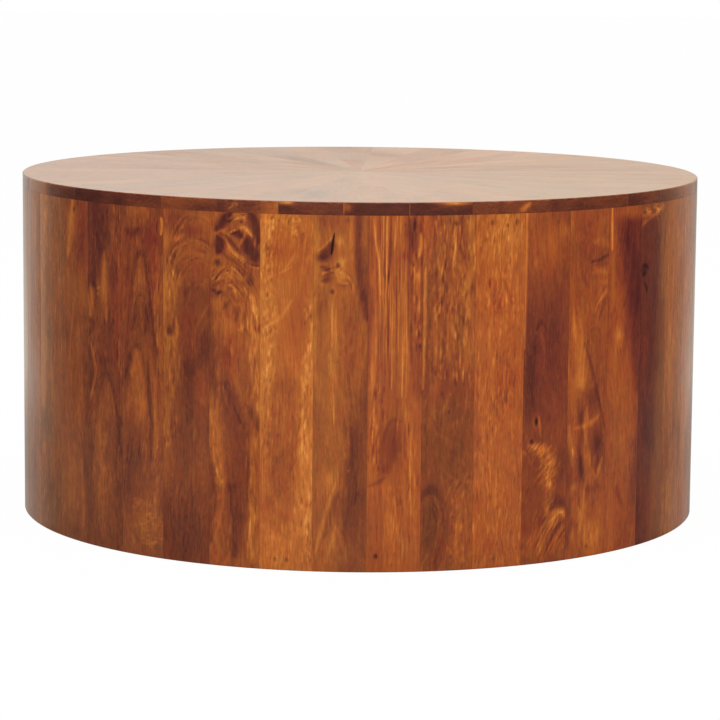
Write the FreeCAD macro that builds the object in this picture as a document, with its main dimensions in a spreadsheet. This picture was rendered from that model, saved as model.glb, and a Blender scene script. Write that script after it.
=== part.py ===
"""Round drum coffee table, modelled as it is built: a coopered wall of upright staves nailed round a
plywood sub-top and a lapped foot ring, under a sunburst top of wedge boards.

Millimetres and degrees. Z is up, the origin is on the floor under the middle of the top, and the front of
the table faces -Y. Angles about the table are counted from the front, growing towards +X.
"""

import FreeCAD, Part
import math
import os

import Sketcher

# Driving dimensions: alias, value, what it measures
DIMENSIONS = [
    ("drum_diameter", "800", "outside of the stave wall and of the top"),
    ("drum_height", "400", "floor to the upper face of the top"),
    ("top_thickness", "14", "wedge boards of the top"),
    ("top_edge_ease", "1", "chamfer on the upper arris of the rim"),
    ("sector_count", "6", "glue-ups that the top is joined from"),
    ("wedges_per_sector", "6", "wedge boards in one glue-up"),
    ("wedge_turn", "-2.5", "angle of the first wedge joint from the front"),
    ("stave_count", "43", "staves in the wall"),
    ("stave_thickness", "20", "stave, from the crown of its face to its flat back"),
    ("stave_turn", "1.4", "angle of the first stave joint from the front"),
    ("foot_ease", "1", "chamfer on the outer arris at the floor"),
    ("subtop_thickness", "18", "plywood disc under the wedge boards"),
    ("seat_gap", "0.1", "glue line between a stave's flat back and a round former"),
    ("ring_lift", "3", "floor to the underside of the foot ring"),
    ("ring_thickness", "18", "foot ring, both lapped halves together"),
    ("ring_width", "70", "foot ring, measured along a radius"),
    ("felloe_count", "8", "lapped pieces that make the foot ring"),
    ("lap_length", "50", "half lap between two pieces of the foot ring"),
    ("post_count", "4", "uprights between foot ring and sub-top"),
    ("post_side", "45", "square section of an upright"),
    ("head_brads", "2", "brads at the head of a stave"),
    ("foot_brads", "1", "brads at the foot of a stave"),
    ("brad_spacing", "12", "between two brads at one end of a stave or post"),
    ("brad_width", "1.6", "brads are flat wire: their wider side"),
    ("brad_depth", "1.4", "brads are flat wire: their narrower side"),
    ("brad_set", "2", "head of a brad below the face of its stave"),
    ("brad_bite", "20", "length of a stave's brad in the former"),
    ("post_brad_bite", "42", "length of a post's brad in the post"),
    ("top_brad_inset", "20", "brads of the top, inwards from the foot ring's bore"),
    ("top_brad_cover", "5", "wood left above the point of a brad of the top"),
]

# Sizes that follow from the driving dimensions, as expressions on the sheet
RADIUS = "(dims.drum_diameter / 2)"
STAVE_LENGTH = "(dims.drum_height - dims.top_thickness)"
STAVE_PITCH = "(360 deg / dims.stave_count)"
FLAT_BACK = f"({RADIUS} - dims.stave_thickness)"
FORMER_RADIUS = f"({FLAT_BACK} - dims.seat_gap)"
WEDGE_PITCH = "(360 deg / (dims.sector_count * dims.wedges_per_sector))"
SUBTOP_FLOOR = f"({STAVE_LENGTH} - dims.subtop_thickness)"
RING_TOP = "(dims.ring_lift + dims.ring_thickness)"
RING_BORE = f"({FORMER_RADIUS} - dims.ring_width)"
RING_MIDDLE = f"({FORMER_RADIUS} - dims.ring_width / 2)"
LAP_ANGLE = f"(dims.lap_length / {RING_MIDDLE} * 180 deg / pi)"
BRAD_LENGTH = "(dims.stave_thickness - dims.brad_set + dims.seat_gap + dims.brad_bite)"
TOP_BRAD_CIRCLE = f"({RING_BORE} - dims.top_brad_inset)"
TOP_BRAD_LENGTH = "(dims.subtop_thickness + dims.top_thickness - dims.top_brad_cover)"

# How a sketch numbers the points of an edge, and its own two axes
START, END, CENTRE = range(1, 4)
LEVEL_AXIS, UPRIGHT_AXIS = range(-1, -3, -1)
ROOT_POINT = (LEVEL_AXIS, START)

Z_AXIS = FreeCAD.Vector(0, 0, 1)
ORIGIN = FreeCAD.Vector(0, 0, 0)
FRONT = -math.pi / 2

doc = FreeCAD.newDocument("drum_table")


def make_sheet():
    """The spreadsheet that holds the driving dimensions."""
    sheet = doc.addObject("Spreadsheet::Sheet", "dims")
    for row, (alias, value, meaning) in enumerate(DIMENSIONS, start=1):
        sheet.set(f"A{row}", alias)
        sheet.set(f"B{row}", value)
        sheet.set(f"C{row}", meaning)
        sheet.setAlias(f"B{row}", alias)
    doc.recompute()
    return sheet


dims = make_sheet()


def number(expression):
    """Value of an expression on the sheet, in millimetres or degrees."""
    found = dims.evalExpression(expression)
    return float(getattr(found, "Value", found))


def whole(alias):
    """A count from the sheet."""
    return int(round(number(f"dims.{alias}")))


def new_sketch(body, name, role="XY_Plane", lift=None, turn=None):
    """A sketch on one of the body's own planes, raised by lift and turned about its normal by turn."""
    sketch = body.newObject("Sketcher::SketchObject", name)
    plane = next(f for f in body.Origin.OriginFeatures if f.Role == role)
    sketch.AttachmentSupport = [(plane, "")]
    sketch.MapMode = "FlatFace"
    sketch.AttachmentOffset = FreeCAD.Placement(ORIGIN, FreeCAD.Rotation(Z_AXIS, 0))
    if lift:
        sketch.setExpression("AttachmentOffset.Base.z", lift)
    if turn:
        sketch.setExpression("AttachmentOffset.Rotation.Angle", turn)
    return sketch


def constrain(sketch, *items):
    """Add one geometric constraint."""
    sketch.addConstraint(Sketcher.Constraint(*items))


def dimension(sketch, expression, kind, *items):
    """Add one dimension to the sketch and bind it to an expression on the sheet."""
    value = number(expression)
    drawn = math.radians(value) if kind == "Angle" else value
    index = sketch.addConstraint(Sketcher.Constraint(kind, *items, drawn))
    sketch.setExpression(f"Constraints[{index}]", expression)


def front_arc(radius, half_angle):
    """An arc about the origin, centred on the front of the table."""
    circle = Part.Circle(ORIGIN, Z_AXIS, radius)
    return Part.ArcOfCircle(circle, FRONT - half_angle, FRONT + half_angle)


def line(start, end):
    """A straight edge of a sketch."""
    return Part.LineSegment(FreeCAD.Vector(*start, 0), FreeCAD.Vector(*end, 0))


def join_loop(sketch, corners):
    """Join the edges of a closed outline, given as pairs of (edge, end)."""
    for first, second in corners:
        constrain(sketch, "Coincident", *first, *second)


def pad(body, sketch, name, length):
    """Raise a sketch to a length bound to the sheet."""
    feature = body.newObject("PartDesign::Pad", name)
    feature.Profile = sketch
    feature.setExpression("Length", length)
    return feature


def rim_edges(shape, level):
    """Names of the round edges of a shape that lie outermost at one height."""
    return [
        f"Edge{index}"
        for index, edge in enumerate(shape.Edges, start=1)
        if isinstance(edge.Curve, Part.Circle)
        and abs(edge.BoundBox.ZMin - level) < 1e-6
        and abs(edge.BoundBox.ZMax - level) < 1e-6
        and abs(edge.Curve.Radius - number(RADIUS)) < 1e-6
    ]


def turned_copy(name, source, angle):
    """A copy of a piece, turned about the table's axis by an angle bound to the sheet."""
    copy = doc.addObject("Part::Compound", name)
    copy.Label = name
    copy.Links = [source]
    copy.Placement = FreeCAD.Placement(ORIGIN, FreeCAD.Rotation(Z_AXIS, 0))
    copy.setExpression("Placement.Rotation.Angle", angle)
    return copy


def group(name, members):
    """Several separate pieces that share one node."""
    gathered = doc.addObject("Part::Compound", name)
    gathered.Label = name
    gathered.Links = members
    return gathered


def cut(name, base, tool):
    """A piece less the holes that its brads make."""
    made = doc.addObject("Part::Cut", name)
    made.Base = base
    made.Tool = tool
    return made


def make_brad(name, size, corner):
    """One brad at the front: its size and lowest corner along X, Y and Z, bound to the sheet."""
    brad = doc.addObject("Part::Box", name)
    for side, expression in zip(("Length", "Width", "Height"), size):
        brad.setExpression(side, expression)
    for axis, expression in zip("xyz", corner):
        brad.setExpression(f"Placement.Base.{axis}", expression)
    return brad


def make_stave_brads(name, count, level):
    """The brads at one end of the front stave, driven in from its face at a height."""
    size = ("dims.brad_width", BRAD_LENGTH, "dims.brad_depth")
    brads = []
    for index in range(count):
        across = f"{index - (count - 1) / 2} * dims.brad_spacing - dims.brad_width / 2"
        corner = (across, f"dims.brad_set - {RADIUS}", f"{level} - dims.brad_depth / 2")
        brads.append(make_brad(f"{name}_{index + 1}", size, corner))
    return group(name, brads)


def make_upright_brad(name, across, radius, lowest, length):
    """A brad at the front that runs up or down through a former, at a radius of the table."""
    size = ("dims.brad_width", "dims.brad_depth", length)
    corner = (f"{across} - dims.brad_width / 2", f"-{radius} - dims.brad_depth / 2", lowest)
    return make_brad(name, size, corner)


def make_stave_blank():
    """One stave at the front: bevelled edges, a face turned to the drum and a flat back."""
    body = doc.addObject("PartDesign::Body", "stave_blank")
    sketch = new_sketch(body, "stave_section")
    half = math.radians(number(STAVE_PITCH)) / 2
    radius = number(RADIUS)
    back = number(FLAT_BACK)
    outer_x, outer_y = radius * math.sin(half), -radius * math.cos(half)
    inner_x, inner_y = back * math.tan(half), -back
    face, right, flat, left = sketch.addGeometry(
        [
            front_arc(radius, half),
            line((outer_x, outer_y), (inner_x, inner_y)),
            line((inner_x, inner_y), (-inner_x, inner_y)),
            line((-inner_x, inner_y), (-outer_x, outer_y)),
        ]
    )
    corners = [
        ((face, CENTRE), ROOT_POINT),
        ((face, END), (right, START)),
        ((right, END), (flat, START)),
        ((flat, END), (left, START)),
        ((left, END), (face, START)),
    ]
    join_loop(sketch, corners)
    constrain(sketch, "Symmetric", flat, START, flat, END, UPRIGHT_AXIS)
    constrain(sketch, "PointOnObject", *ROOT_POINT, right)
    constrain(sketch, "PointOnObject", *ROOT_POINT, left)
    dimension(sketch, RADIUS, "Radius", face)
    dimension(sketch, STAVE_PITCH, "Angle", face)
    dimension(sketch, FLAT_BACK, "DistanceY", flat, START, *ROOT_POINT)
    length = pad(body, sketch, "stave_length", STAVE_LENGTH)
    doc.recompute()
    ease = body.newObject("PartDesign::Chamfer", "stave_foot")
    ease.Base = (length, rim_edges(length.Shape, 0))
    ease.setExpression("Size", "dims.foot_ease")
    return body


def make_staves(head_brads, foot_brads):
    """The whole wall: each stave is the same piece, turned to its place."""
    stave = cut("stave", make_stave_blank(), group("stave_brads", [head_brads, foot_brads]))
    return [
        turned_copy(f"stave_{index + 1:02d}", stave, stave_angle(index))
        for index in range(whole("stave_count"))
    ]


def stave_angle(index):
    """Angle of a stave's middle, as an expression on the sheet."""
    return f"dims.stave_turn * 1 deg + {index + 0.5} * {STAVE_PITCH}"


def make_brads(name, front_brads):
    """The brads at one end of every stave, as one group of separate pieces."""
    copies = [
        turned_copy(f"{name}_{index + 1:02d}", front_brads, stave_angle(index))
        for index in range(whole("stave_count"))
    ]
    return group(name, copies)


def make_wedge_blank():
    """One wedge board at the front, its point on the table's axis and its rim eased."""
    body = doc.addObject("PartDesign::Body", "wedge_blank")
    sketch = new_sketch(body, "wedge_plan", lift=STAVE_LENGTH)
    half = math.radians(number(WEDGE_PITCH)) / 2
    radius = number(RADIUS)
    outer_x, outer_y = radius * math.sin(half), -radius * math.cos(half)
    rim, right, left = sketch.addGeometry(
        [
            front_arc(radius, half),
            line((outer_x, outer_y), (0, 0)),
            line((0, 0), (-outer_x, outer_y)),
        ]
    )
    corners = [
        ((rim, CENTRE), ROOT_POINT),
        ((rim, END), (right, START)),
        ((right, END), ROOT_POINT),
        ((left, START), ROOT_POINT),
        ((left, END), (rim, START)),
    ]
    join_loop(sketch, corners)
    constrain(sketch, "Symmetric", rim, START, rim, END, UPRIGHT_AXIS)
    dimension(sketch, RADIUS, "Radius", rim)
    dimension(sketch, WEDGE_PITCH, "Angle", rim)
    board = pad(body, sketch, "wedge_board", "dims.top_thickness")
    doc.recompute()
    ease = body.newObject("PartDesign::Chamfer", "wedge_rim")
    ease.Base = (board, rim_edges(board.Shape, number("dims.drum_height")))
    ease.setExpression("Size", "dims.top_edge_ease")
    return body


def make_top():
    """The sunburst top, in glue-ups of wedge boards, and the brads that hold the boards from below."""
    brad = make_upright_brad("top_brad", "0", TOP_BRAD_CIRCLE, SUBTOP_FLOOR, TOP_BRAD_LENGTH)
    wedge = cut("wedge", make_wedge_blank(), brad)
    per_sector = whole("wedges_per_sector")
    sectors, brads = [], []
    for sector in range(whole("sector_count")):
        boards = []
        for index in range(sector * per_sector, (sector + 1) * per_sector):
            angle = f"dims.wedge_turn * 1 deg + {index + 0.5} * {WEDGE_PITCH}"
            boards.append(turned_copy(f"wedge_{index + 1:02d}", wedge, angle))
            brads.append(turned_copy(f"top_brad_{index + 1:02d}", brad, angle))
        sectors.append(group(f"top_sector_{sector + 1}", boards))
    return sectors, group("top_brads", brads)


def make_felloe_blank():
    """One piece of the foot ring: two half-thickness sectors, stepped to lap over both neighbours."""
    body = doc.addObject("PartDesign::Body", "felloe_blank")
    span = "(360 deg / dims.felloe_count)"
    layers = [
        ("lower", "dims.ring_lift", f"{LAP_ANGLE} / 2"),
        ("upper", "dims.ring_lift + dims.ring_thickness / 2", f"-{LAP_ANGLE} / 2"),
    ]
    for layer, lift, turn in layers:
        sketch = new_sketch(body, f"felloe_{layer}_plan", lift=lift, turn=turn)
        half = math.radians(number(span)) / 2
        outer, inner = number(FORMER_RADIUS), number(RING_BORE)
        sin, cos = math.sin(half), -math.cos(half)
        rim, right, bore, left = sketch.addGeometry(
            [
                front_arc(outer, half),
                line((outer * sin, outer * cos), (inner * sin, inner * cos)),
                front_arc(inner, half),
                line((-inner * sin, inner * cos), (-outer * sin, outer * cos)),
            ]
        )
        corners = [
            ((rim, CENTRE), ROOT_POINT),
            ((bore, CENTRE), ROOT_POINT),
            ((rim, END), (right, START)),
            ((right, END), (bore, END)),
            ((bore, START), (left, START)),
            ((left, END), (rim, START)),
        ]
        join_loop(sketch, corners)
        constrain(sketch, "Symmetric", rim, START, rim, END, UPRIGHT_AXIS)
        constrain(sketch, "PointOnObject", *ROOT_POINT, right)
        constrain(sketch, "PointOnObject", *ROOT_POINT, left)
        dimension(sketch, FORMER_RADIUS, "Radius", rim)
        dimension(sketch, RING_BORE, "Radius", bore)
        dimension(sketch, span, "Angle", rim)
        pad(body, sketch, f"felloe_{layer}_half", "dims.ring_thickness / 2")
    return body


def make_foot_ring(brads):
    """The foot ring, with the holes of every brad that enters it."""
    blank = make_felloe_blank()
    felloes = []
    for index in range(whole("felloe_count")):
        angle = f"{index} * 360 deg / dims.felloe_count"
        piece = turned_copy(f"felloe_blank_{index + 1}", blank, angle)
        felloes.append(cut(f"felloe_{index + 1}", piece, brads))
    return group("foot_ring_felloes", felloes)


def make_post_blank():
    """One square upright at the front, from the foot ring to the sub-top."""
    body = doc.addObject("PartDesign::Body", "post_blank")
    sketch = new_sketch(body, "post_section", lift=RING_TOP)
    half = number("dims.post_side") / 2
    middle = -number(RING_MIDDLE)
    corners = [
        (-half, middle - half),
        (half, middle - half),
        (half, middle + half),
        (-half, middle + half),
    ]
    front, right, back, left = sketch.addGeometry(
        [line(corners[side], corners[(side + 1) % 4]) for side in range(4)]
    )
    sides = [front, right, back, left]
    join_loop(sketch, [((sides[side], END), (sides[(side + 1) % 4], START)) for side in range(4)])
    constrain(sketch, "Symmetric", front, START, front, END, UPRIGHT_AXIS)
    constrain(sketch, "Horizontal", back)
    constrain(sketch, "Vertical", right)
    constrain(sketch, "Vertical", left)
    dimension(sketch, "dims.post_side", "DistanceX", front, START, front, END)
    dimension(sketch, "dims.post_side", "DistanceY", right, START, right, END)
    reach = f"({RING_MIDDLE} + dims.post_side / 2)"
    dimension(sketch, reach, "DistanceY", front, START, *ROOT_POINT)
    pad(body, sketch, "post_length", f"{SUBTOP_FLOOR} - {RING_TOP}")
    return body


def make_post_brads():
    """The brads of the front post: two up through the foot ring and two down through the sub-top."""
    ends = [
        ("foot", "dims.ring_lift", "dims.ring_thickness + dims.post_brad_bite"),
        (
            "head",
            f"{SUBTOP_FLOOR} - dims.post_brad_bite",
            "dims.subtop_thickness + dims.post_brad_bite",
        ),
    ]
    brads = []
    for end, lowest, length in ends:
        for side in (-1, 1):
            across = f"{side} * dims.brad_spacing / 2"
            name = f"post_{end}_brad_{side + 2}"
            brads.append(make_upright_brad(name, across, RING_MIDDLE, lowest, length))
    return group("post_front_brads", brads)


def make_posts():
    """The uprights, and the brads that hold them at the foot ring and at the sub-top."""
    front_brads = make_post_brads()
    post = cut("post", make_post_blank(), front_brads)
    posts, brads = [], []
    for index in range(whole("post_count")):
        angle = f"{index + 0.5} * 360 deg / dims.post_count"
        posts.append(turned_copy(f"post_{index + 1}", post, angle))
        brads.append(turned_copy(f"post_brads_{index + 1}", front_brads, angle))
    return posts, group("post_brads", brads)


def make_subtop(brads):
    """The plywood disc that the staves are nailed to and the wedge boards are glued on."""
    body = doc.addObject("PartDesign::Body", "subtop_blank")
    sketch = new_sketch(body, "subtop_plan", lift=SUBTOP_FLOOR)
    edge = sketch.addGeometry(Part.Circle(ORIGIN, Z_AXIS, number(FORMER_RADIUS)))
    constrain(sketch, "Coincident", edge, CENTRE, *ROOT_POINT)
    dimension(sketch, FORMER_RADIUS, "Radius", edge)
    pad(body, sketch, "subtop_board", "dims.subtop_thickness")
    return cut("subtop_disc", body, brads)


def check(pieces):
    """Stop if any object failed, or any piece is not sound solid wood or steel."""
    for item in doc.Objects:
        faults = {"Invalid", "Error"} & set(item.State)
        if faults:
            raise RuntimeError(f"{item.Label}: {sorted(faults)}")
        if item.isDerivedFrom("Sketcher::SketchObject") and not item.FullyConstrained:
            raise RuntimeError(f"{item.Label} is not fully constrained")
    for piece in pieces:
        shape = piece.Shape
        if shape.isNull() or not shape.isValid() or not shape.Solids:
            raise RuntimeError(f"{piece.Label} is not a sound solid")


def main():
    """Build the table and write each piece to its own file."""
    head_level = f"({SUBTOP_FLOOR} + dims.subtop_thickness / 2)"
    foot_level = "(dims.ring_lift + dims.ring_thickness / 2)"
    head_brads = make_stave_brads("stave_head_brads", whole("head_brads"), head_level)
    foot_brads = make_stave_brads("stave_foot_brads", whole("foot_brads"), foot_level)
    staves = make_staves(head_brads, foot_brads)
    upper_brads = make_brads("upper_brads", head_brads)
    lower_brads = make_brads("lower_brads", foot_brads)
    sectors, top_brads = make_top()
    posts, post_brads = make_posts()
    foot_ring = make_foot_ring(group("ring_brads", [lower_brads, post_brads]))
    subtop = make_subtop(group("subtop_brads", [upper_brads, top_brads, post_brads]))
    brads = [upper_brads, lower_brads, top_brads, post_brads]
    pieces = [*staves, *sectors, subtop, foot_ring, *posts, *brads]
    doc.recompute()
    check(pieces)
    os.makedirs("parts", exist_ok=True)
    for piece in pieces:
        piece.Shape.exportStep(os.path.join("parts", f"{piece.Label}.step"))
    solids = sum(len(piece.Shape.Solids) for piece in pieces)
    litres = sum(piece.Shape.Volume for piece in pieces) / 1e6
    print(f"{len(pieces)} nodes, {solids} solids, {litres:.2f} litres of material")


main()
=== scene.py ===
"""Looks of the round drum coffee table: a coopered wall of figured staves under a sunburst top.

Lengths on a board are millimetres: across it from its middle, and along its grain. Angles about the table
are degrees from the front (-Y), growing towards +X.
"""

import logging
import math
from dataclasses import dataclass, replace
from enum import Enum, IntEnum
from functools import reduce
from typing import Protocol, Sequence

import bmesh
import bpy
import numpy as np
from mathutils import Matrix, Vector


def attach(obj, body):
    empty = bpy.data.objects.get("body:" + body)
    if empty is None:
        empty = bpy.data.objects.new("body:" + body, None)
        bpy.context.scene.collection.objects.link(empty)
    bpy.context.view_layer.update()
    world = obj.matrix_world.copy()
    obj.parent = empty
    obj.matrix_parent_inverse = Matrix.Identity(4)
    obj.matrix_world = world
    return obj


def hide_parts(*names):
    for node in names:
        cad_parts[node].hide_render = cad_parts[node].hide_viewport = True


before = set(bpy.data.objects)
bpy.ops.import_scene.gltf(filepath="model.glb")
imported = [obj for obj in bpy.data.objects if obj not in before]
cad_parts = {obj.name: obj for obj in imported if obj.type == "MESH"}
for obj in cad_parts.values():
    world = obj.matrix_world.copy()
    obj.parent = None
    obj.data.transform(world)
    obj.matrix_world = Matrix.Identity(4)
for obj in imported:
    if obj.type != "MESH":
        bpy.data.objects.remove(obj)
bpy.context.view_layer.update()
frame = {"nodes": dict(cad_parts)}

LOG = logging.getLogger("drum_table")
MM = 0.001
WHITE = (1.0, 1.0, 1.0, 1.0)
Field = np.ndarray
Range = tuple[float, float]
Points = tuple[tuple[float, float], ...]
Color = tuple[float, float, float]
Axes = tuple[float, float, float]
Socket = bpy.types.NodeSocket
Inputs = dict[int | str, object]
# A drawn line is rounded by steps along the board, and a stroke is painted in shares of its half width.
CORNER_STEPS = (-12, -6, 0, 6, 12)
STROKE_MARGIN = 2.2
STROKE_BLUR = 1.2
STROKE_EDGE = 2.6
# A mark of many strokes scatters them about its line by this share of its width.
SCATTER = 0.5


class Slot(Enum):
    """Names of material slots for the pieces that stand in for CAD nodes. No piece is given one of these
    slots here.
    """

    STAVE_WOOD = "stave_wood"
    TOP_WOOD = "top_wood"


class Trait(Enum):
    """What the mesh of a lacquered board tells its finish at each point."""

    TONE = "tone"
    WARM = "warm"
    GRAIN = "grain"
    BANDS = "bands"
    LINES = "lines"
    FLECK = "fleck"
    BLOTCH = "blotch"
    DARK = "dark"
    FILM = "film"


class Hand(IntEnum):
    """Sides of a drawn line, as the board's face is looked at."""

    LEFT = -1
    RIGHT = 1


class Seed(IntEnum):
    """Numbers that set apart the random draws of each kind of pattern."""

    RIPPLE = 1
    RAGGED = 17
    CURL = 33
    FILLINGS = 40
    WEDGE = 60
    STRANDS = 91
    WEDGE_FACE = 100
    WEDGE_RIM = 200
    WEDGE_TONES = 300
    WARP_ACROSS = 500
    WARP_ALONG = 501
    SWIRLS = 502
    UNSEEN = 900


def bell(distance: Field, power: float = 2.0) -> Field:
    """A weight of 1 at distance 0 that falls away beyond 1, more steeply for a higher power."""
    return np.exp(-(np.abs(distance) ** power))


def ramp(value: Field) -> Field:
    """A smooth step from 0 to 1 while value goes from 0 to 1."""
    x = np.clip(value, 0.0, 1.0)
    return x * x * (3.0 - 2.0 * x)


def trace(points: Points, along: Field) -> Field:
    """Follow a drawn line along a board.

    Args:
        points: places (across, along) that the line passes through.
        along: where on the board it is wanted.

    Returns:
        The line's place across the board, with its corners rounded.
    """
    ordered = sorted(points, key=lambda point: point[1])
    across = [point[0] for point in ordered]
    heights = [point[1] for point in ordered]
    return sum(np.interp(along + step, heights, across) for step in CORNER_STEPS) / len(CORNER_STEPS)


def reach(points: Points, along: Field, soft: float) -> Field:
    """A weight of 1 between the ends of a drawn line that fades beyond them over soft millimetres."""
    heights = [point[1] for point in points]
    return ramp((along - min(heights)) / soft + 1) * ramp((max(heights) - along) / soft + 1)


class Waves:
    """Smooth unevenness of a board, the same on every run."""

    STEEPNESS: Range = (0.6, 1.6)

    def __init__(self, seed: int, across: float, along: float, count: int = 9) -> None:
        """Draw the waves.

        Args:
            seed: number of the pattern.
            across: typical wavelength across the board.
            along: typical wavelength along it.
            count: how many waves are summed.
        """
        draw = np.random.default_rng(seed)
        turn = draw.uniform(0, 2 * math.pi, count)
        size = draw.uniform(*self.STEEPNESS, count)
        self._across = np.cos(turn) * size * 2 * math.pi / across
        self._along = np.sin(turn) * size * 2 * math.pi / along
        self._phase = draw.uniform(0, 2 * math.pi, count)
        self._height = 1 / (size * math.sqrt(count / 2))

    def at(self, across: Field, along: Field) -> Field:
        """Measure the waves.

        Args:
            across: places across the board.
            along: places along it.

        Returns:
            Their height at each place, mostly between -1 and 1.
        """
        total = np.zeros_like(across)
        for kx, kz, phase, height in zip(self._across, self._along, self._phase, self._height):
            total += height * np.sin(kx * across + kz * along + phase)
        return total


class Board:
    """The figure on the face of one board, sampled at the points of its mesh."""

    def __init__(self, across: Field, along: Field, seed: int) -> None:
        """Start with plain wood.

        Args:
            across: place of each point across the board.
            along: place of each point along it.
            seed: number of the board's own pattern.
        """
        self.across = across
        self.along = along
        self.seed = seed
        self.traits = {trait: np.zeros_like(across) for trait in Trait}
        self.sink = np.zeros_like(across)
        self.flow_across = across.copy()
        self.flow_along = along.copy()

    def add(self, trait: Trait, amount: Field | float) -> None:
        """Add to one trait at each point."""
        self.traits[trait] += amount


class Mark(Protocol):
    """Something that grew in a board, or happened to it, u across from the board's middle and z along it."""

    def draw(self, board: Board) -> None:
        """Put the mark on the board."""


def smooth_line(points: Points, steps: int = 6) -> Field:
    """Round off a drawn line.

    Args:
        points: places (across, along) that the line passes through.
        steps: pieces that each stretch is cut into.

    Returns:
        Places along the rounded line, one in each row.
    """
    given = np.array([points[0], *points, points[-1]], float)
    rounded = []
    for before, start, end, after in zip(given, given[1:], given[2:], given[3:]):
        for share in np.arange(steps) / steps:
            bend = (2 * before - 5 * start + 4 * end - after) * share**2
            twist = (3 * start - before - 3 * end + after) * share**3
            rounded.append(0.5 * (2 * start + (end - before) * share + bend + twist))
    return np.array([*rounded, given[-1]])


@dataclass(frozen=True)
class Streak:
    """A soft streak of other colour along the grain."""

    u: float
    z: float
    half_w: float
    half_h: float
    tone: float
    warm: float = 0.0
    lean: float = 0.0
    film: float = 0.0

    def draw(self, board: Board) -> None:
        """Put the mark on the board.

        Args:
            board: the board that it is on.
        """
        height = (board.along - self.z) / self.half_h
        middle = self.u + self.lean * (board.along - self.z)
        weight = bell((board.across - middle) / self.half_w) * bell(height)
        board.add(Trait.TONE, self.tone * weight)
        board.add(Trait.WARM, self.warm * weight)
        board.add(Trait.FILM, self.film * weight)


def paint_line(
    board: Board, line: Field, half_w: float, tone: float, warm: float = 0.0, ends: float = 0.3
) -> None:
    """Paint a stroke along a line, thinner towards its ends.

    Args:
        board: the board to paint on.
        line: places (across, along) on the line, one in each row.
        half_w: half the stroke's width in its middle.
        tone: how much lighter or darker it is.
        warm: how much more golden or red it is.
        ends: width at its ends as a share of half_w.
    """
    margin = STROKE_MARGIN * half_w
    low, high = line.min(axis=0) - margin, line.max(axis=0) + margin
    near = (board.across > low[0]) & (board.across < high[0])
    near &= (board.along > low[1]) & (board.along < high[1])
    u, z = board.across[near], board.along[near]
    nearest = np.full_like(u, np.inf)
    share = np.zeros_like(u)
    for number, (start, end) in enumerate(zip(line, line[1:])):
        du, dz = end - start
        foot = np.clip(((u - start[0]) * du + (z - start[1]) * dz) / (du * du + dz * dz), 0.0, 1.0)
        away = np.hypot(u - start[0] - foot * du, z - start[1] - foot * dz)
        share = np.where(away < nearest, (number + foot) / (len(line) - 1), share)
        nearest = np.minimum(away, nearest)
    width = half_w * (ends + (1 - ends) * np.sin(math.pi * share))
    weight = bell(nearest / (STROKE_BLUR * width), STROKE_EDGE)
    board.traits[Trait.TONE][near] += tone * weight
    board.traits[Trait.WARM][near] += warm * weight


@dataclass(frozen=True)
class Stroke:
    """A streak that follows a drawn line and thins towards its ends."""

    points: Points
    half_w: float
    tone: float
    warm: float = 0.0
    ends: float = 0.3

    def draw(self, board: Board) -> None:
        """Put the mark on the board."""
        paint_line(board, smooth_line(self.points), self.half_w, self.tone, self.warm, self.ends)


@dataclass(frozen=True)
class Strands:
    """Fibres that run side by side along a drawn line, some lighter and some darker than the wood."""

    points: Points
    spread: float
    tone: float
    count: int = 30
    share: float = 0.3
    thick: float = 0.8
    dark: float = 0.4
    lengths: Range = (0.5, 1.2)
    tones: Range = (0.4, 1.1)
    overhang: float = 0.3
    stops: int = 5

    def draw(self, board: Board) -> None:
        """Put the mark on the board.

        Args:
            board: the board that it is on.
        """
        draw = np.random.default_rng(board.seed * Seed.STRANDS + self.count)
        line = smooth_line(self.points)
        run = np.gradient(line, axis=0)
        aside = np.stack([-run[:, 1], run[:, 0]], axis=1) / np.linalg.norm(run, axis=1)[:, None]
        shares = np.linspace(0, 1, len(line))
        for _ in range(self.count):
            length = self.share * draw.uniform(*self.lengths)
            start = draw.uniform(-self.overhang * length, 1 - (1 - self.overhang) * length)
            stops = np.clip(np.linspace(start, start + length, self.stops), 0, 1)
            offset = draw.normal(0, SCATTER) * self.spread
            beside = line + offset * aside
            place = np.stack([np.interp(stops, shares, beside[:, axis]) for axis in (0, 1)], 1)
            tone = self.tone * draw.uniform(*self.tones) * (-1 if draw.random() < self.dark else 1)
            kept = place[np.append(True, np.abs(np.diff(stops)) > 1e-6)]
            paint_line(board, kept, self.thick, tone, tone)


@dataclass(frozen=True)
class Side:
    """Other colour on everything to one side of a drawn line."""

    points: Points
    side: Hand
    tone: float
    blur: float = 4.0
    warm: float = 0.0
    soft: float = 20.0
    ragged: float = 1.2

    def draw(self, board: Board) -> None:
        """Put the mark on the board.

        Args:
            board: the board that it is on.
        """
        waves = Waves(board.seed + Seed.RAGGED, across=9, along=30).at(board.across, board.along)
        offset = self.side * (board.across - trace(self.points, board.along)) + self.ragged * waves
        weight = ramp(offset / self.blur * 0.5 + 0.5) * reach(self.points, board.along, self.soft)
        board.add(Trait.TONE, self.tone * weight)
        board.add(Trait.WARM, self.warm * weight)


@dataclass(frozen=True)
class Arch:
    """A pointed growth line of a flat-sawn board, and the colour inside it."""

    u: float
    z: float
    half_w: float
    drop: float
    line: float
    tone: float
    fill: float = 0.0
    length: float = 140.0

    def draw(self, board: Board) -> None:
        """Put the mark on the board.

        Args:
            board: the board that it is on.
        """
        out = (board.across - self.u) / self.half_w
        below = self.z - self.drop * out**2 - board.along
        slope = np.sqrt(1 + (2 * self.drop * out / self.half_w) ** 2)
        fade = bell((self.z - board.along) / self.length, 4.0)
        board.add(Trait.TONE, self.tone * bell(below / slope / self.line) * fade)
        inside = ramp(below / slope / self.line * 0.5 + 0.5) * fade
        board.add(Trait.TONE, self.fill * inside)


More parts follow.
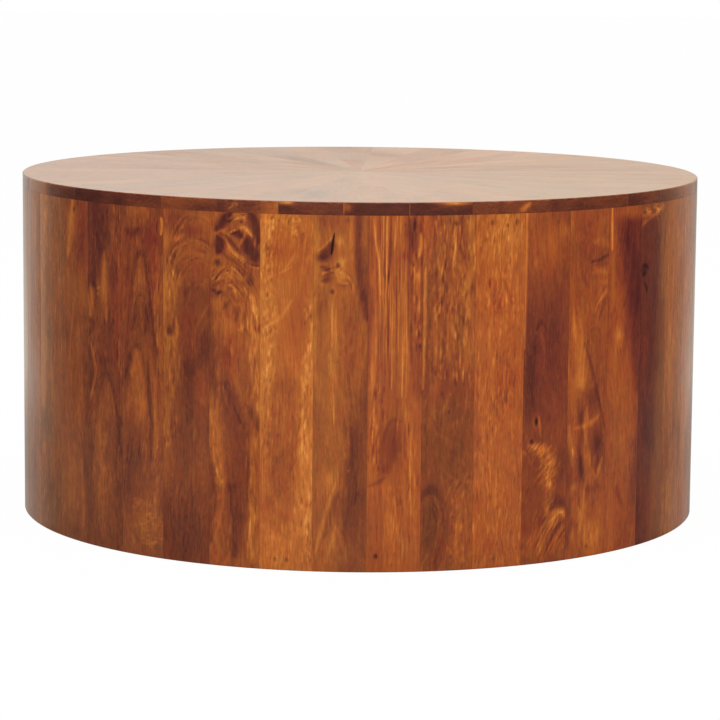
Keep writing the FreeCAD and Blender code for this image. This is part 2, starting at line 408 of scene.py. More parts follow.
@dataclass(frozen=True)
class Knot:
    """A small knot: dark inside, with the grain parting round it."""

    u: float
    z: float
    radius: float
    dark: float = 0.5
    push: float = 1.0
    tall: float = 1.4
    flow_reach: float = 3.0
    ring_bend: float = 0.12
    halo: float = 0.16
    halo_at: float = 1.7
    halo_width: float = 0.6

    def draw(self, board: Board) -> None:
        """Put the mark on the board.

        Args:
            board: the board that it is on.
        """
        dx, dz = board.across - self.u, (board.along - self.z) / self.tall
        distance = np.hypot(dx, dz)
        near = bell(distance / (self.radius * self.flow_reach))
        board.flow_across -= self.push * dx * near
        board.add(Trait.GRAIN, -self.ring_bend * self.push * dx * near)
        board.add(Trait.TONE, -self.dark * bell(distance / self.radius, 3.0))
        halo = bell((distance - self.halo_at * self.radius) / (self.halo_width * self.radius))
        board.add(Trait.TONE, self.halo * self.dark * halo)


@dataclass(frozen=True)
class Burl:
    """Swirling grain with strong light and dark."""

    u: float
    z: float
    half_w: float
    half_h: float
    swirl: float
    tone: float = 0.0
    size: float = 26.0
    bend: float = 7.0
    rings: float = 1.6
    flow_across: float = 4.0
    flow_along: float = 10.0
    broad: float = 1.3
    tall: float = 1.2

    def draw(self, board: Board) -> None:
        """Put the mark on the board.

        Args:
            board: the board that it is on.
        """
        dx = (board.across - self.u) / self.half_w
        dz = (board.along - self.z) / self.half_h
        weight = bell(np.hypot(dx, dz), 3.0)
        broad = self.size * self.broad
        warp_u = Waves(board.seed + Seed.WARP_ACROSS, broad, broad).at(board.across, board.along)
        warp_z = Waves(board.seed + Seed.WARP_ALONG, broad, broad).at(board.across, board.along)
        bent_u = board.across + self.bend * warp_u
        bent_z = board.along + self.bend * warp_z
        swirls = Waves(board.seed + Seed.SWIRLS, self.size, self.size * self.tall).at(bent_u, bent_z)
        board.add(Trait.TONE, (self.tone + self.swirl * swirls) * weight)
        board.add(Trait.GRAIN, self.rings * swirls * weight)
        board.flow_across += self.flow_across * warp_u * weight
        board.flow_along += self.flow_along * warp_z * weight


@dataclass(frozen=True)
class Flame:
    """Curly grain that shows as many short slanting strokes along a drawn line."""

    points: Points
    half_w: float
    tone: float
    count: int = 40
    slant: float = 45.0
    length: float = 9.0
    thick: float = 1.1
    waver: float = 9.0
    lengths: Range = (0.6, 1.2)
    tones: Range = (0.5, 1.2)
    thin: float = 0.35
    stray: float = 2.0

    def draw(self, board: Board) -> None:
        """Put the mark on the board.

        Args:
            board: the board that it is on.
        """
        draw = np.random.default_rng(board.seed + Seed.CURL)
        line = smooth_line(self.points)
        shares = np.linspace(0, 1, len(line))
        for place in draw.uniform(0, 1, self.count):
            fat = self.thin + (1 - self.thin) * math.sin(math.pi * place)
            u = np.interp(place, shares, line[:, 0]) + draw.normal(0, SCATTER) * self.half_w * fat
            z = np.interp(place, shares, line[:, 1]) + draw.normal(0, self.stray)
            turn = math.radians(self.slant + draw.normal(0, self.waver))
            half = 0.5 * self.length * draw.uniform(*self.lengths)
            step = np.array([math.cos(turn), math.sin(turn)]) * half
            ends = np.array([[u, z] - step, [u, z] + step])
            paint_line(board, ends, self.thick, self.tone * draw.uniform(*self.tones))


@dataclass(frozen=True)
class Texture:
    """A stretch of the board with more, or less, of one of its traits."""

    trait: Trait
    u: float
    z: float
    half_w: float
    half_h: float
    amount: float

    def draw(self, board: Board) -> None:
        """Put the mark on the board."""
        weight = bell((board.across - self.u) / self.half_w) * bell((board.along - self.z) / self.half_h)
        board.add(self.trait, self.amount * weight)


@dataclass(frozen=True)
class Crack:
    """An open check or hole in the wood, cut into the face, with its inside painted dark as painted shade.
    """

    points: Points
    half_w: float
    depth: float = 1.2
    edge: float = 1.35

    def lines_across(self) -> list[float]:
        """Places across the board where the mesh needs points for the crack."""
        steps = (-1.0, -0.55, 0.0, 0.55, 1.0)
        return [point[0] + step * self.half_w for point in self.points for step in steps]

    def lines_along(self) -> list[float]:
        """Places along the board where the mesh needs points for the crack."""
        heights = [point[1] for point in self.points]
        return [min(heights) - 1.0, min(heights), max(heights), max(heights) + 1.0]

    def draw(self, board: Board) -> None:
        """Put the mark on the board.

        Args:
            board: the board that it is on.
        """
        ordered = sorted(self.points, key=lambda point: point[1])
        heights = [point[1] for point in ordered]
        middle = np.interp(board.along, heights, [point[0] for point in ordered])
        share = (board.along - heights[0]) / (heights[-1] - heights[0])
        lens = np.sqrt(np.clip(4 * share * (1 - share), 0.0, 1.0))
        width = np.maximum(self.half_w * lens, 1e-3)
        inside = (lens > 0) * ramp(self.edge - np.abs(board.across - middle) / width)
        board.sink = np.maximum(board.sink, self.depth * inside)
        # Painted shade: the inside of the crack is painted the full dark pit colour.
        board.traits[Trait.DARK] = np.maximum(board.traits[Trait.DARK], inside)


@dataclass(frozen=True)
class Filling:
    """A filled brad hole: a soft spot, darker than the wood, with a paler middle."""

    u: float
    z: float
    size: float = 1.5
    tone: float = -0.08
    tall: float = 1.15
    pale: float = 0.3
    warm: float = 0.3
    dark: float = 0.9

    def lines_across(self) -> list[float]:
        """Places across the board where the mesh needs points for the spot."""
        return [self.u + step * self.size for step in (-1.3, -0.65, 0.0, 0.65, 1.3)]

    def lines_along(self) -> list[float]:
        """Places along the board where the mesh needs points for the spot."""
        return [self.z + step * self.size for step in (-1.4, -0.7, 0.0, 0.7, 1.4)]

    def draw(self, board: Board) -> None:
        """Put the mark on the board.

        Args:
            board: the board that it is on.
        """
        distance = np.hypot(board.across - self.u, (board.along - self.z) / self.tall) / self.size
        spot = bell(distance, 3.0)
        board.add(Trait.TONE, self.tone * (spot - self.pale * bell(distance / 0.5)))
        board.add(Trait.WARM, self.warm * spot)
        board.add(Trait.DARK, -self.dark * self.tone * spot)


@dataclass(frozen=True)
class Figure:
    """How one board was cut from the log, and the marks on it."""

    tone: float
    marks: tuple[Mark, ...] = ()
    warm: float = 0.0
    pith: float = 40.0
    depth: float = 12.0
    taper: float = 0.06
    ring: float = 8.0
    bands: float = 0.06
    lines: float = 0.07
    fleck: float = 0.1
    blotch: float = 0.09
    wander: float = 2.5
    ripple: float = 0.6

    def marked(self, *marks: Mark) -> "Figure":
        """The same board with marks on it."""
        return replace(self, marks=marks)

    def draw(self, board: Board) -> None:
        """Draw the growth lines and the marks of the board.

        Args:
            board: the board to draw on.
        """
        sway = self.wander * Waves(board.seed, across=240, along=190).at(board.across, board.along)
        ripples = Waves(board.seed + Seed.RIPPLE, across=50, along=90).at(board.across, board.along)
        from_pith = board.across - self.pith + sway
        rings = np.sqrt(from_pith**2 + self.depth**2) - self.taper * board.along + self.ripple * ripples
        board.traits[Trait.GRAIN] = rings / self.ring
        board.flow_across += sway + self.ripple * ripples
        board.add(Trait.TONE, self.tone)
        board.add(Trait.WARM, self.warm)
        board.add(Trait.BANDS, self.bands)
        board.add(Trait.LINES, self.lines)
        board.add(Trait.FLECK, self.fleck)
        board.add(Trait.BLOTCH, self.blotch)
        for mark in self.marks:
            mark.draw(board)


class BoardMesh:
    """A mesh in the making: faces sampled on lattices and closed by flat sides, with the wood's traits."""

    SEED_STEP = 3.7

    def __init__(self) -> None:
        """Start empty."""
        self.points: list[Field] = []
        self.faces: list[list[int]] = []
        self.traits: dict[Trait, list[Field]] = {trait: [] for trait in Trait}
        self.flow: list[Field] = []
        self.count = 0

    def lattice(self, places: Field, board: Board) -> Field:
        """Add a face sampled on rows and columns.

        Args:
            places: points of the face in millimetres, rows by columns by 3.
            board: the figure on it, sampled at the same points.

        Returns:
            The numbers of the new points, rows by columns.
        """
        rows, columns = places.shape[:2]
        numbers = np.arange(rows * columns).reshape(rows, columns) + self.count
        quads = np.stack(
            [numbers[:-1, :-1], numbers[:-1, 1:], numbers[1:, 1:], numbers[1:, :-1]], axis=-1
        )
        self.faces.extend(quads.reshape(-1, 4).tolist())
        seeds = np.full(places.shape[:2], board.seed * self.SEED_STEP)
        self._keep(places, np.stack([board.flow_across, board.flow_along, seeds], -1), board.traits)
        return numbers

    def corner(self, place: Sequence[float], like: int) -> int:
        """Add a single point.

        Args:
            place: where it is, in millimetres.
            like: number of an earlier point that its wood is like.

        Returns:
            The number of the new point.
        """
        flow = np.concatenate([part.reshape(-1, 3) for part in self.flow])[like]
        traits = {
            trait: np.concatenate([part.ravel() for part in parts])[like : like + 1]
            for trait, parts in self.traits.items()
        }
        self._keep(np.array([place], float), flow[None], traits)
        return self.count - 1

    def _keep(self, places: Field, flow: Field, traits: dict[Trait, Field]) -> None:
        """Store points.

        Args:
            places: where they are, in millimetres.
            flow: their places along the fibres.
            traits: what they tell the finish.
        """
        self.points.append(places.reshape(-1, 3))
        self.flow.append(flow.reshape(-1, 3))
        for trait, values in traits.items():
            self.traits[trait].append(np.ravel(values))
        self.count += places.reshape(-1, 3).shape[0]

    def close(self, *outline: int) -> None:
        """Add one flat face through points in order."""
        self.faces.append([int(number) for number in outline])

    def make(self, name: str, sharp: float = 28.0) -> bpy.types.Object:
        """Turn the points and faces into an object.

        Args:
            name: name of the object.
            sharp: edges that turn by more than this many degrees stay crisp.

        Returns:
            The new object, in metres, in the table's frame.
        """
        mesh = bpy.data.meshes.new(name)
        mesh.from_pydata((np.concatenate(self.points) * MM).tolist(), [], self.faces)
        for trait, parts in self.traits.items():
            layer = mesh.attributes.new(trait.value, "FLOAT", "POINT")
            layer.data.foreach_set("value", np.concatenate(parts).astype(np.float32))
        flow = mesh.attributes.new("flow", "FLOAT_VECTOR", "POINT")
        flow.data.foreach_set("vector", np.concatenate(self.flow).astype(np.float32).ravel())
        shape = bmesh.new()
        shape.from_mesh(mesh)
        bmesh.ops.recalc_face_normals(shape, faces=shape.faces)
        shape.to_mesh(mesh)
        shape.free()
        mesh.polygons.foreach_set("use_smooth", [True] * len(mesh.polygons))
        mesh.set_sharp_from_angle(angle=math.radians(sharp))
        mesh.update()
        made = bpy.data.objects.new(name, mesh)
        bpy.context.scene.collection.objects.link(made)
        return made


@dataclass(frozen=True)
class Layer:
    """One layer of noise: how fast it changes along each axis, and how fine, rough and bent it is."""

    scale: Axes
    detail: float
    rough: float = 0.5
    bend: float = 0.0


class Graph:
    """A node tree, with short calls for the nodes that the finishes need."""

    NOISE_GAIN = 2.5

    def __init__(self, tree: bpy.types.NodeTree) -> None:
        """Take over a tree and empty it."""
        self.tree = tree
        self.tree.nodes.clear()

    def add(self, kind: str, inputs: Inputs | None = None, **settings: object) -> bpy.types.Node:
        """Add a node.

        Args:
            kind: type of the node.
            inputs: sockets to link to its inputs, or constants, by the input's name or place.
            settings: its options by name.

        Returns:
            The node.
        """
        node = self.tree.nodes.new(kind)
        for key, value in settings.items():
            setattr(node, key, value)
        for key, value in (inputs or {}).items():
            if isinstance(value, Socket):
                self.tree.links.new(value, node.inputs[key])
            else:
                node.inputs[key].default_value = value
        return node

    def math(self, operation: str, *values: object, clamp: bool = False) -> Socket:
        """Result of an operation on one or more numbers."""
        inputs = dict(enumerate(values))
        return self.add("ShaderNodeMath", inputs, operation=operation, use_clamp=clamp).outputs[0]

    def total(self, *values: object) -> Socket:
        """Sum of several numbers."""
        return reduce(lambda so_far, value: self.math("ADD", so_far, value), values)

    def product(self, *values: object) -> Socket:
        """Product of several numbers."""
        return reduce(lambda so_far, value: self.math("MULTIPLY", so_far, value), values)

    def trait(self, trait: Trait) -> Socket:
        """A trait that the mesh carries."""
        return self.add("ShaderNodeAttribute", attribute_name=trait.value).outputs["Fac"]

    def axes(self, vector: Socket) -> tuple[Socket, ...]:
        """The numbers of a vector along x, y and z."""
        return tuple(self.add("ShaderNodeSeparateXYZ", {0: vector}).outputs)

    def noise(self, place: Socket, layer: Layer) -> Socket:
        """Noise over a place.

        Args:
            place: the place, as a vector.
            layer: what the noise is like.

        Returns:
            The noise, between 0 and 1.
        """
        scaled = self.add("ShaderNodeVectorMath", {0: place, 1: layer.scale}, operation="MULTIPLY")
        inputs = {"Vector": scaled.outputs[0], "Scale": 1.0, "Detail": layer.detail}
        inputs |= {"Roughness": layer.rough, "Distortion": layer.bend}
        return self.add("ShaderNodeTexNoise", inputs, noise_dimensions="3D").outputs[0]

    def stripes(self, value: Socket, detail: float, rough: float) -> Socket:
        """Noise between 0 and 1 over a single number, such as a count of growth rings."""
        inputs = {"W": value, "Scale": 1.0, "Detail": detail, "Roughness": rough}
        return self.add("ShaderNodeTexNoise", inputs, noise_dimensions="1D").outputs[0]

    def about_zero(self, noise: Socket, height: object) -> Socket:
        """Noise between 0 and 1, moved to lie about 0 with about the given height."""
        return self.product(self.math("MULTIPLY_ADD", noise, self.NOISE_GAIN, -self.NOISE_GAIN / 2), height)

    def between(self, value: Socket, low: float, high: float) -> Socket:
        """A smooth step from 0 to 1 while a number goes from low to high."""
        inputs = {"Value": value, "From Min": low, "From Max": high}
        return self.add("ShaderNodeMapRange", inputs, interpolation_type="SMOOTHSTEP").outputs[0]

    def colors(self, value: Socket, stops: Sequence[tuple[float, Color]]) -> Socket:
        """Look a number up on a row of colours.

        Args:
            value: the number.
            stops: places on the row with their screen colours.

        Returns:
            The colour.
        """
        node = self.add("ShaderNodeValToRGB", {0: value})
        row = node.color_ramp
        while len(row.elements) < len(stops):
            row.elements.new(0.5)
        for element, (place, color) in zip(row.elements, stops):
            element.position = place
            element.color = (*screen(*color), 1.0)
        return node.outputs[0]

    def mix(self, share: Socket, a: object, b: object) -> Socket:
        """A blend of two colours."""
        inputs = {0: share, 6: a, 7: b}
        return self.add("ShaderNodeMix", inputs, data_type="RGBA", clamp_factor=True).outputs[2]

    def mix_numbers(self, share: Socket, a: object, b: object) -> Socket:
        """A blend of two numbers."""
        return self.add("ShaderNodeMix", {0: share, 2: a, 3: b}, data_type="FLOAT").outputs[0]

    def show(self, shader: bpy.types.Node, output: str = "ShaderNodeOutputMaterial") -> None:
        """End the tree with a shader."""
        self.add(output, {"Surface": shader.outputs[0]})


def screen(*channels: float) -> Color:
    """Turn a screen colour into linear light.

    Args:
        channels: its red, green and blue from 0 to 255.

    Returns:
        The same colour as linear light from 0 to 1.
    """
    shares = [channel / 255 for channel in channels]
    return tuple(share / 12.92 if share <= 0.04045 else ((share + 0.055) / 1.055) ** 2.4 for share in shares)


def blank_finish(name: str) -> tuple[bpy.types.Material, Graph]:
    """Start a finish.

    Args:
        name: name of its material.

    Returns:
        The material, and its empty node tree.
    """
    made = bpy.data.materials.new(name)
    made.use_nodes = True
    return made, Graph(made.node_tree)


@dataclass(frozen=True)
class LacqueredWood:
    """Figured hardwood under chestnut stain and clear lacquer. The boards' own traits drive it."""

    name: str = "lacquered_hardwood"
    red_row: tuple[tuple[float, Color], ...] = (
        (0.00, (57, 23, 23)),
        (0.20, (91, 37, 32)),
        (0.42, (132, 57, 35)),
        (0.60, (163, 76, 34)),
        (0.78, (190, 98, 40)),
        (1.00, (214, 121, 53)),
    )
    gold_row: tuple[tuple[float, Color], ...] = (
        (0.00, (55, 29, 23)),
        (0.20, (89, 47, 31)),
        (0.42, (129, 71, 35)),
        (0.60, (160, 92, 38)),
        (0.78, (188, 113, 47)),
        (1.00, (213, 138, 66)),
    )
    pit: Color = (44, 20, 15)
    roughness: float = 0.18
    rough_spread: float = 0.04
    ior: float = 1.34
    ior_spread: float = 0.2
    hue_spread: float = 0.6
    wave_height: float = 0.0006
    fibre_height: float = 0.0002
    fibre_relief: float = 0.15
    drift_spread: float = 0.25
    lines_per_ring: float = 3.0
    fibre_gain: float = 0.21
    least_fibre: float = 0.02
    pore_depth: float = 0.8
    least_fleck: float = 0.4
    least_lines: float = 0.3
    gold_range: Range = (0.48, 0.74)
    pore_range: Range = (0.55, 0.74)
    uneven_range: Range = (0.3, 0.7)
    hue: Layer = Layer((0.20, 0.06, 1.7), 3.0, 0.6, 0.6)
    film: Layer = Layer((0.009, 0.006, 0.35), 1.5, 0.45, 0.4)
    waves: Layer = Layer((13.0, 13.0, 9.0), 2.0, 0.5, 0.5)
    drift: Layer = Layer((0.03, 0.008, 1.0), 2.0)
    fibre: Layer = Layer((0.7, 0.03, 1.0), 3.0, 0.6)
    gold: Layer = Layer((0.34, 0.06, 1.0), 2.0, 0.6, 0.3)
    pores: Layer = Layer((0.6, 0.085, 1.3), 1.0)
    uneven: Layer = Layer((0.04, 0.02, 1.0), 2.0)
    blotches: tuple[Layer, ...] = (
        Layer((0.03, 0.013, 1.0), 2.0, 0.5, 0.6),
        Layer((0.10, 0.045, 1.0), 3.0, 0.6, 1.0),
        Layer((0.40, 0.13, 1.4), 2.5, 0.6, 0.5),
    )

    def material(self) -> bpy.types.Material:
        """Build the finish.

        Returns:
            Its material.
        """
        made, graph = blank_finish(self.name)
        flow = graph.add("ShaderNodeAttribute", attribute_name="flow").outputs["Vector"]
        tone, fibre, pores = self._tone(graph, flow)
        hue = graph.about_zero(graph.noise(flow, self.hue), self.hue_spread)
        warm = graph.math("ADD", graph.total(graph.trait(Trait.WARM), hue), 0.5, clamp=True)
        wood = graph.mix(warm, graph.colors(tone, self.red_row), graph.colors(tone, self.gold_row))
        wood = graph.mix(graph.trait(Trait.DARK), wood, (*screen(*self.pit), 1.0))
        rough = graph.total(graph.about_zero(fibre, self.rough_spread), self.roughness)
        film = graph.about_zero(graph.noise(flow, self.film), self.ior_spread)
        ior = graph.total(film, graph.trait(Trait.FILM), self.ior)
        place = graph.add("ShaderNodeTexCoord").outputs["Object"]
        waves = {"Strength": 1.0, "Distance": self.wave_height, "Height": graph.noise(place, self.waves)}
        relief = {"Strength": self.fibre_relief, "Distance": self.fibre_height}
        relief["Height"] = graph.math("SUBTRACT", fibre, pores)
        relief["Normal"] = graph.add("ShaderNodeBump", waves).outputs[0]
        normal = graph.add("ShaderNodeBump", relief).outputs[0]
        surface = {"Base Color": wood, "Roughness": rough, "IOR": ior, "Normal": normal}
        graph.show(graph.add("ShaderNodeBsdfPrincipled", surface))
        return made

    def _tone(self, graph: Graph, flow: Socket) -> tuple[Socket, Socket, Socket]:
        """Tone of the wood from dark (0) to golden (1).

        Args:
            graph: the finish's nodes.
            flow: place across and along the fibres, with the board's seed.

        Returns:
            The tone, and the fibres and pores for the surface.
        """
        drift = graph.about_zero(graph.noise(flow, self.drift), self.drift_spread)
        grain = graph.total(graph.trait(Trait.GRAIN), drift, graph.axes(flow)[2])
        bands = graph.stripes(grain, detail=1.0, rough=0.45)
        lines = graph.stripes(graph.product(grain, self.lines_per_ring), detail=2.5, rough=0.6)
        fibre = graph.noise(flow, self.fibre)
        gold = graph.between(graph.noise(flow, self.gold), *self.gold_range)
        pores = graph.between(graph.noise(flow, self.pores), *self.pore_range)
        uneven = graph.between(graph.noise(flow, self.uneven), *self.uneven_range)
        fleck = graph.product(graph.trait(Trait.FLECK), graph.total(uneven, self.least_fleck))
        broken = graph.product(graph.trait(Trait.LINES), graph.total(uneven, self.least_lines))
        blotch = graph.trait(Trait.BLOTCH)
        plain = graph.trait(Trait.TONE)
        tone = graph.total(
            plain,
            graph.about_zero(bands, graph.trait(Trait.BANDS)),
            graph.about_zero(lines, broken),
            graph.about_zero(fibre, graph.math("MULTIPLY_ADD", plain, self.fibre_gain, self.least_fibre)),
            graph.product(gold, fleck),
            graph.product(pores, graph.product(fleck, -self.pore_depth)),
            *(graph.about_zero(graph.noise(flow, layer), blotch) for layer in self.blotches),
        )
        return tone, fibre, pores


@dataclass(frozen=True)
class BareWood:
    """Unfinished wood inside the drum, with the grain along one axis of the table."""

    name: str
    light: Color
    dark: Color
    scale: Axes
    roughness: float = 0.75
    fineness: float = 8.0
    fine_height: float = 0.16

    def material(self) -> bpy.types.Material:
        """Build the finish.

        Returns:
            Its material.
        """
        made, graph = blank_finish(self.name)
        place = graph.add("ShaderNodeTexCoord").outputs["Object"]
        broad = graph.noise(place, Layer(self.scale, detail=3.0, rough=0.6, bend=0.4))
        fine = graph.noise(place, Layer(tuple(self.fineness * axis for axis in self.scale), detail=2.0))
        share = graph.total(broad, graph.about_zero(fine, self.fine_height))
        color = graph.colors(share, ((0.25, self.dark), (0.75, self.light)))
        surface = {"Base Color": color, "Roughness": self.roughness}
        graph.show(graph.add("ShaderNodeBsdfPrincipled", surface))
        return made


@dataclass(frozen=True)
class BradWire:
    """Galvanised wire of the brads, finely speckled."""

    name: str = "galvanised_wire"
    color: Color = (176, 176, 172)
    shade: float = 0.7
    roughness: float = 0.4
    metallic: float = 1.0
    speckle: Layer = Layer((300.0, 300.0, 300.0), 2.0)

    def material(self) -> bpy.types.Material:
        """Build the finish.

        Returns:
            Its material.
        """
        made, graph = blank_finish(self.name)
        place = graph.add("ShaderNodeTexCoord").outputs["Object"]
        darker = tuple(channel * self.shade for channel in self.color)
        color = graph.colors(graph.noise(place, self.speckle), ((0.3, darker), (0.7, self.color)))
        surface = {"Base Color": color, "Roughness": self.roughness, "Metallic": self.metallic}
        graph.show(graph.add("ShaderNodeBsdfPrincipled", surface))
        return made


@dataclass(frozen=True)
class DrumSizes:
    """Sizes that the wall and the top share, in millimetres and degrees."""

    radius: float = 400.0
    height: float = 400.0
    top: float = 14.0
    stave_count: int = 43
    stave_turn: float = 1.4
    stave_thickness: float = 20.0
    foot_ease: float = 1.0
    sector_count: int = 6
    wedges_per_sector: int = 6
    wedge_turn: float = -2.5
    rim_ease: float = 1.0

    def stave_angle(self, number: int) -> float:
        """Angle of the middle of a stave, counted from 1."""
        angle = self.stave_turn + (number - 0.5) * 360 / self.stave_count
        return angle if angle < 180 else angle - 360

    def wedge_angle(self, number: int) -> float:
        """Angle of the middle of a wedge board, counted from 1."""
        angle = self.wedge_turn + (number - 0.5) * 360 / (self.sector_count * self.wedges_per_sector)
        return angle if angle < 180 else angle - 360


def stand_in(piece: bpy.types.Object, node: str, finish: bpy.types.Material) -> None:
    """Put a finished piece in the place of a CAD node.

    Args:
        piece: the piece.
        node: name of the CAD node.
        finish: the piece's finish.
    """
    piece.data.materials.append(finish)
    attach(piece, "root")
    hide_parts(node)
    LOG.info("%s: %d points", piece.name, len(piece.data.vertices))


def on_drum(radius: Field, angle: Field, height: Field) -> Field:
    """Places at a radius, angle and height of the table."""
    return np.stack([radius * np.sin(angle), -radius * np.cos(angle), height], axis=-1)


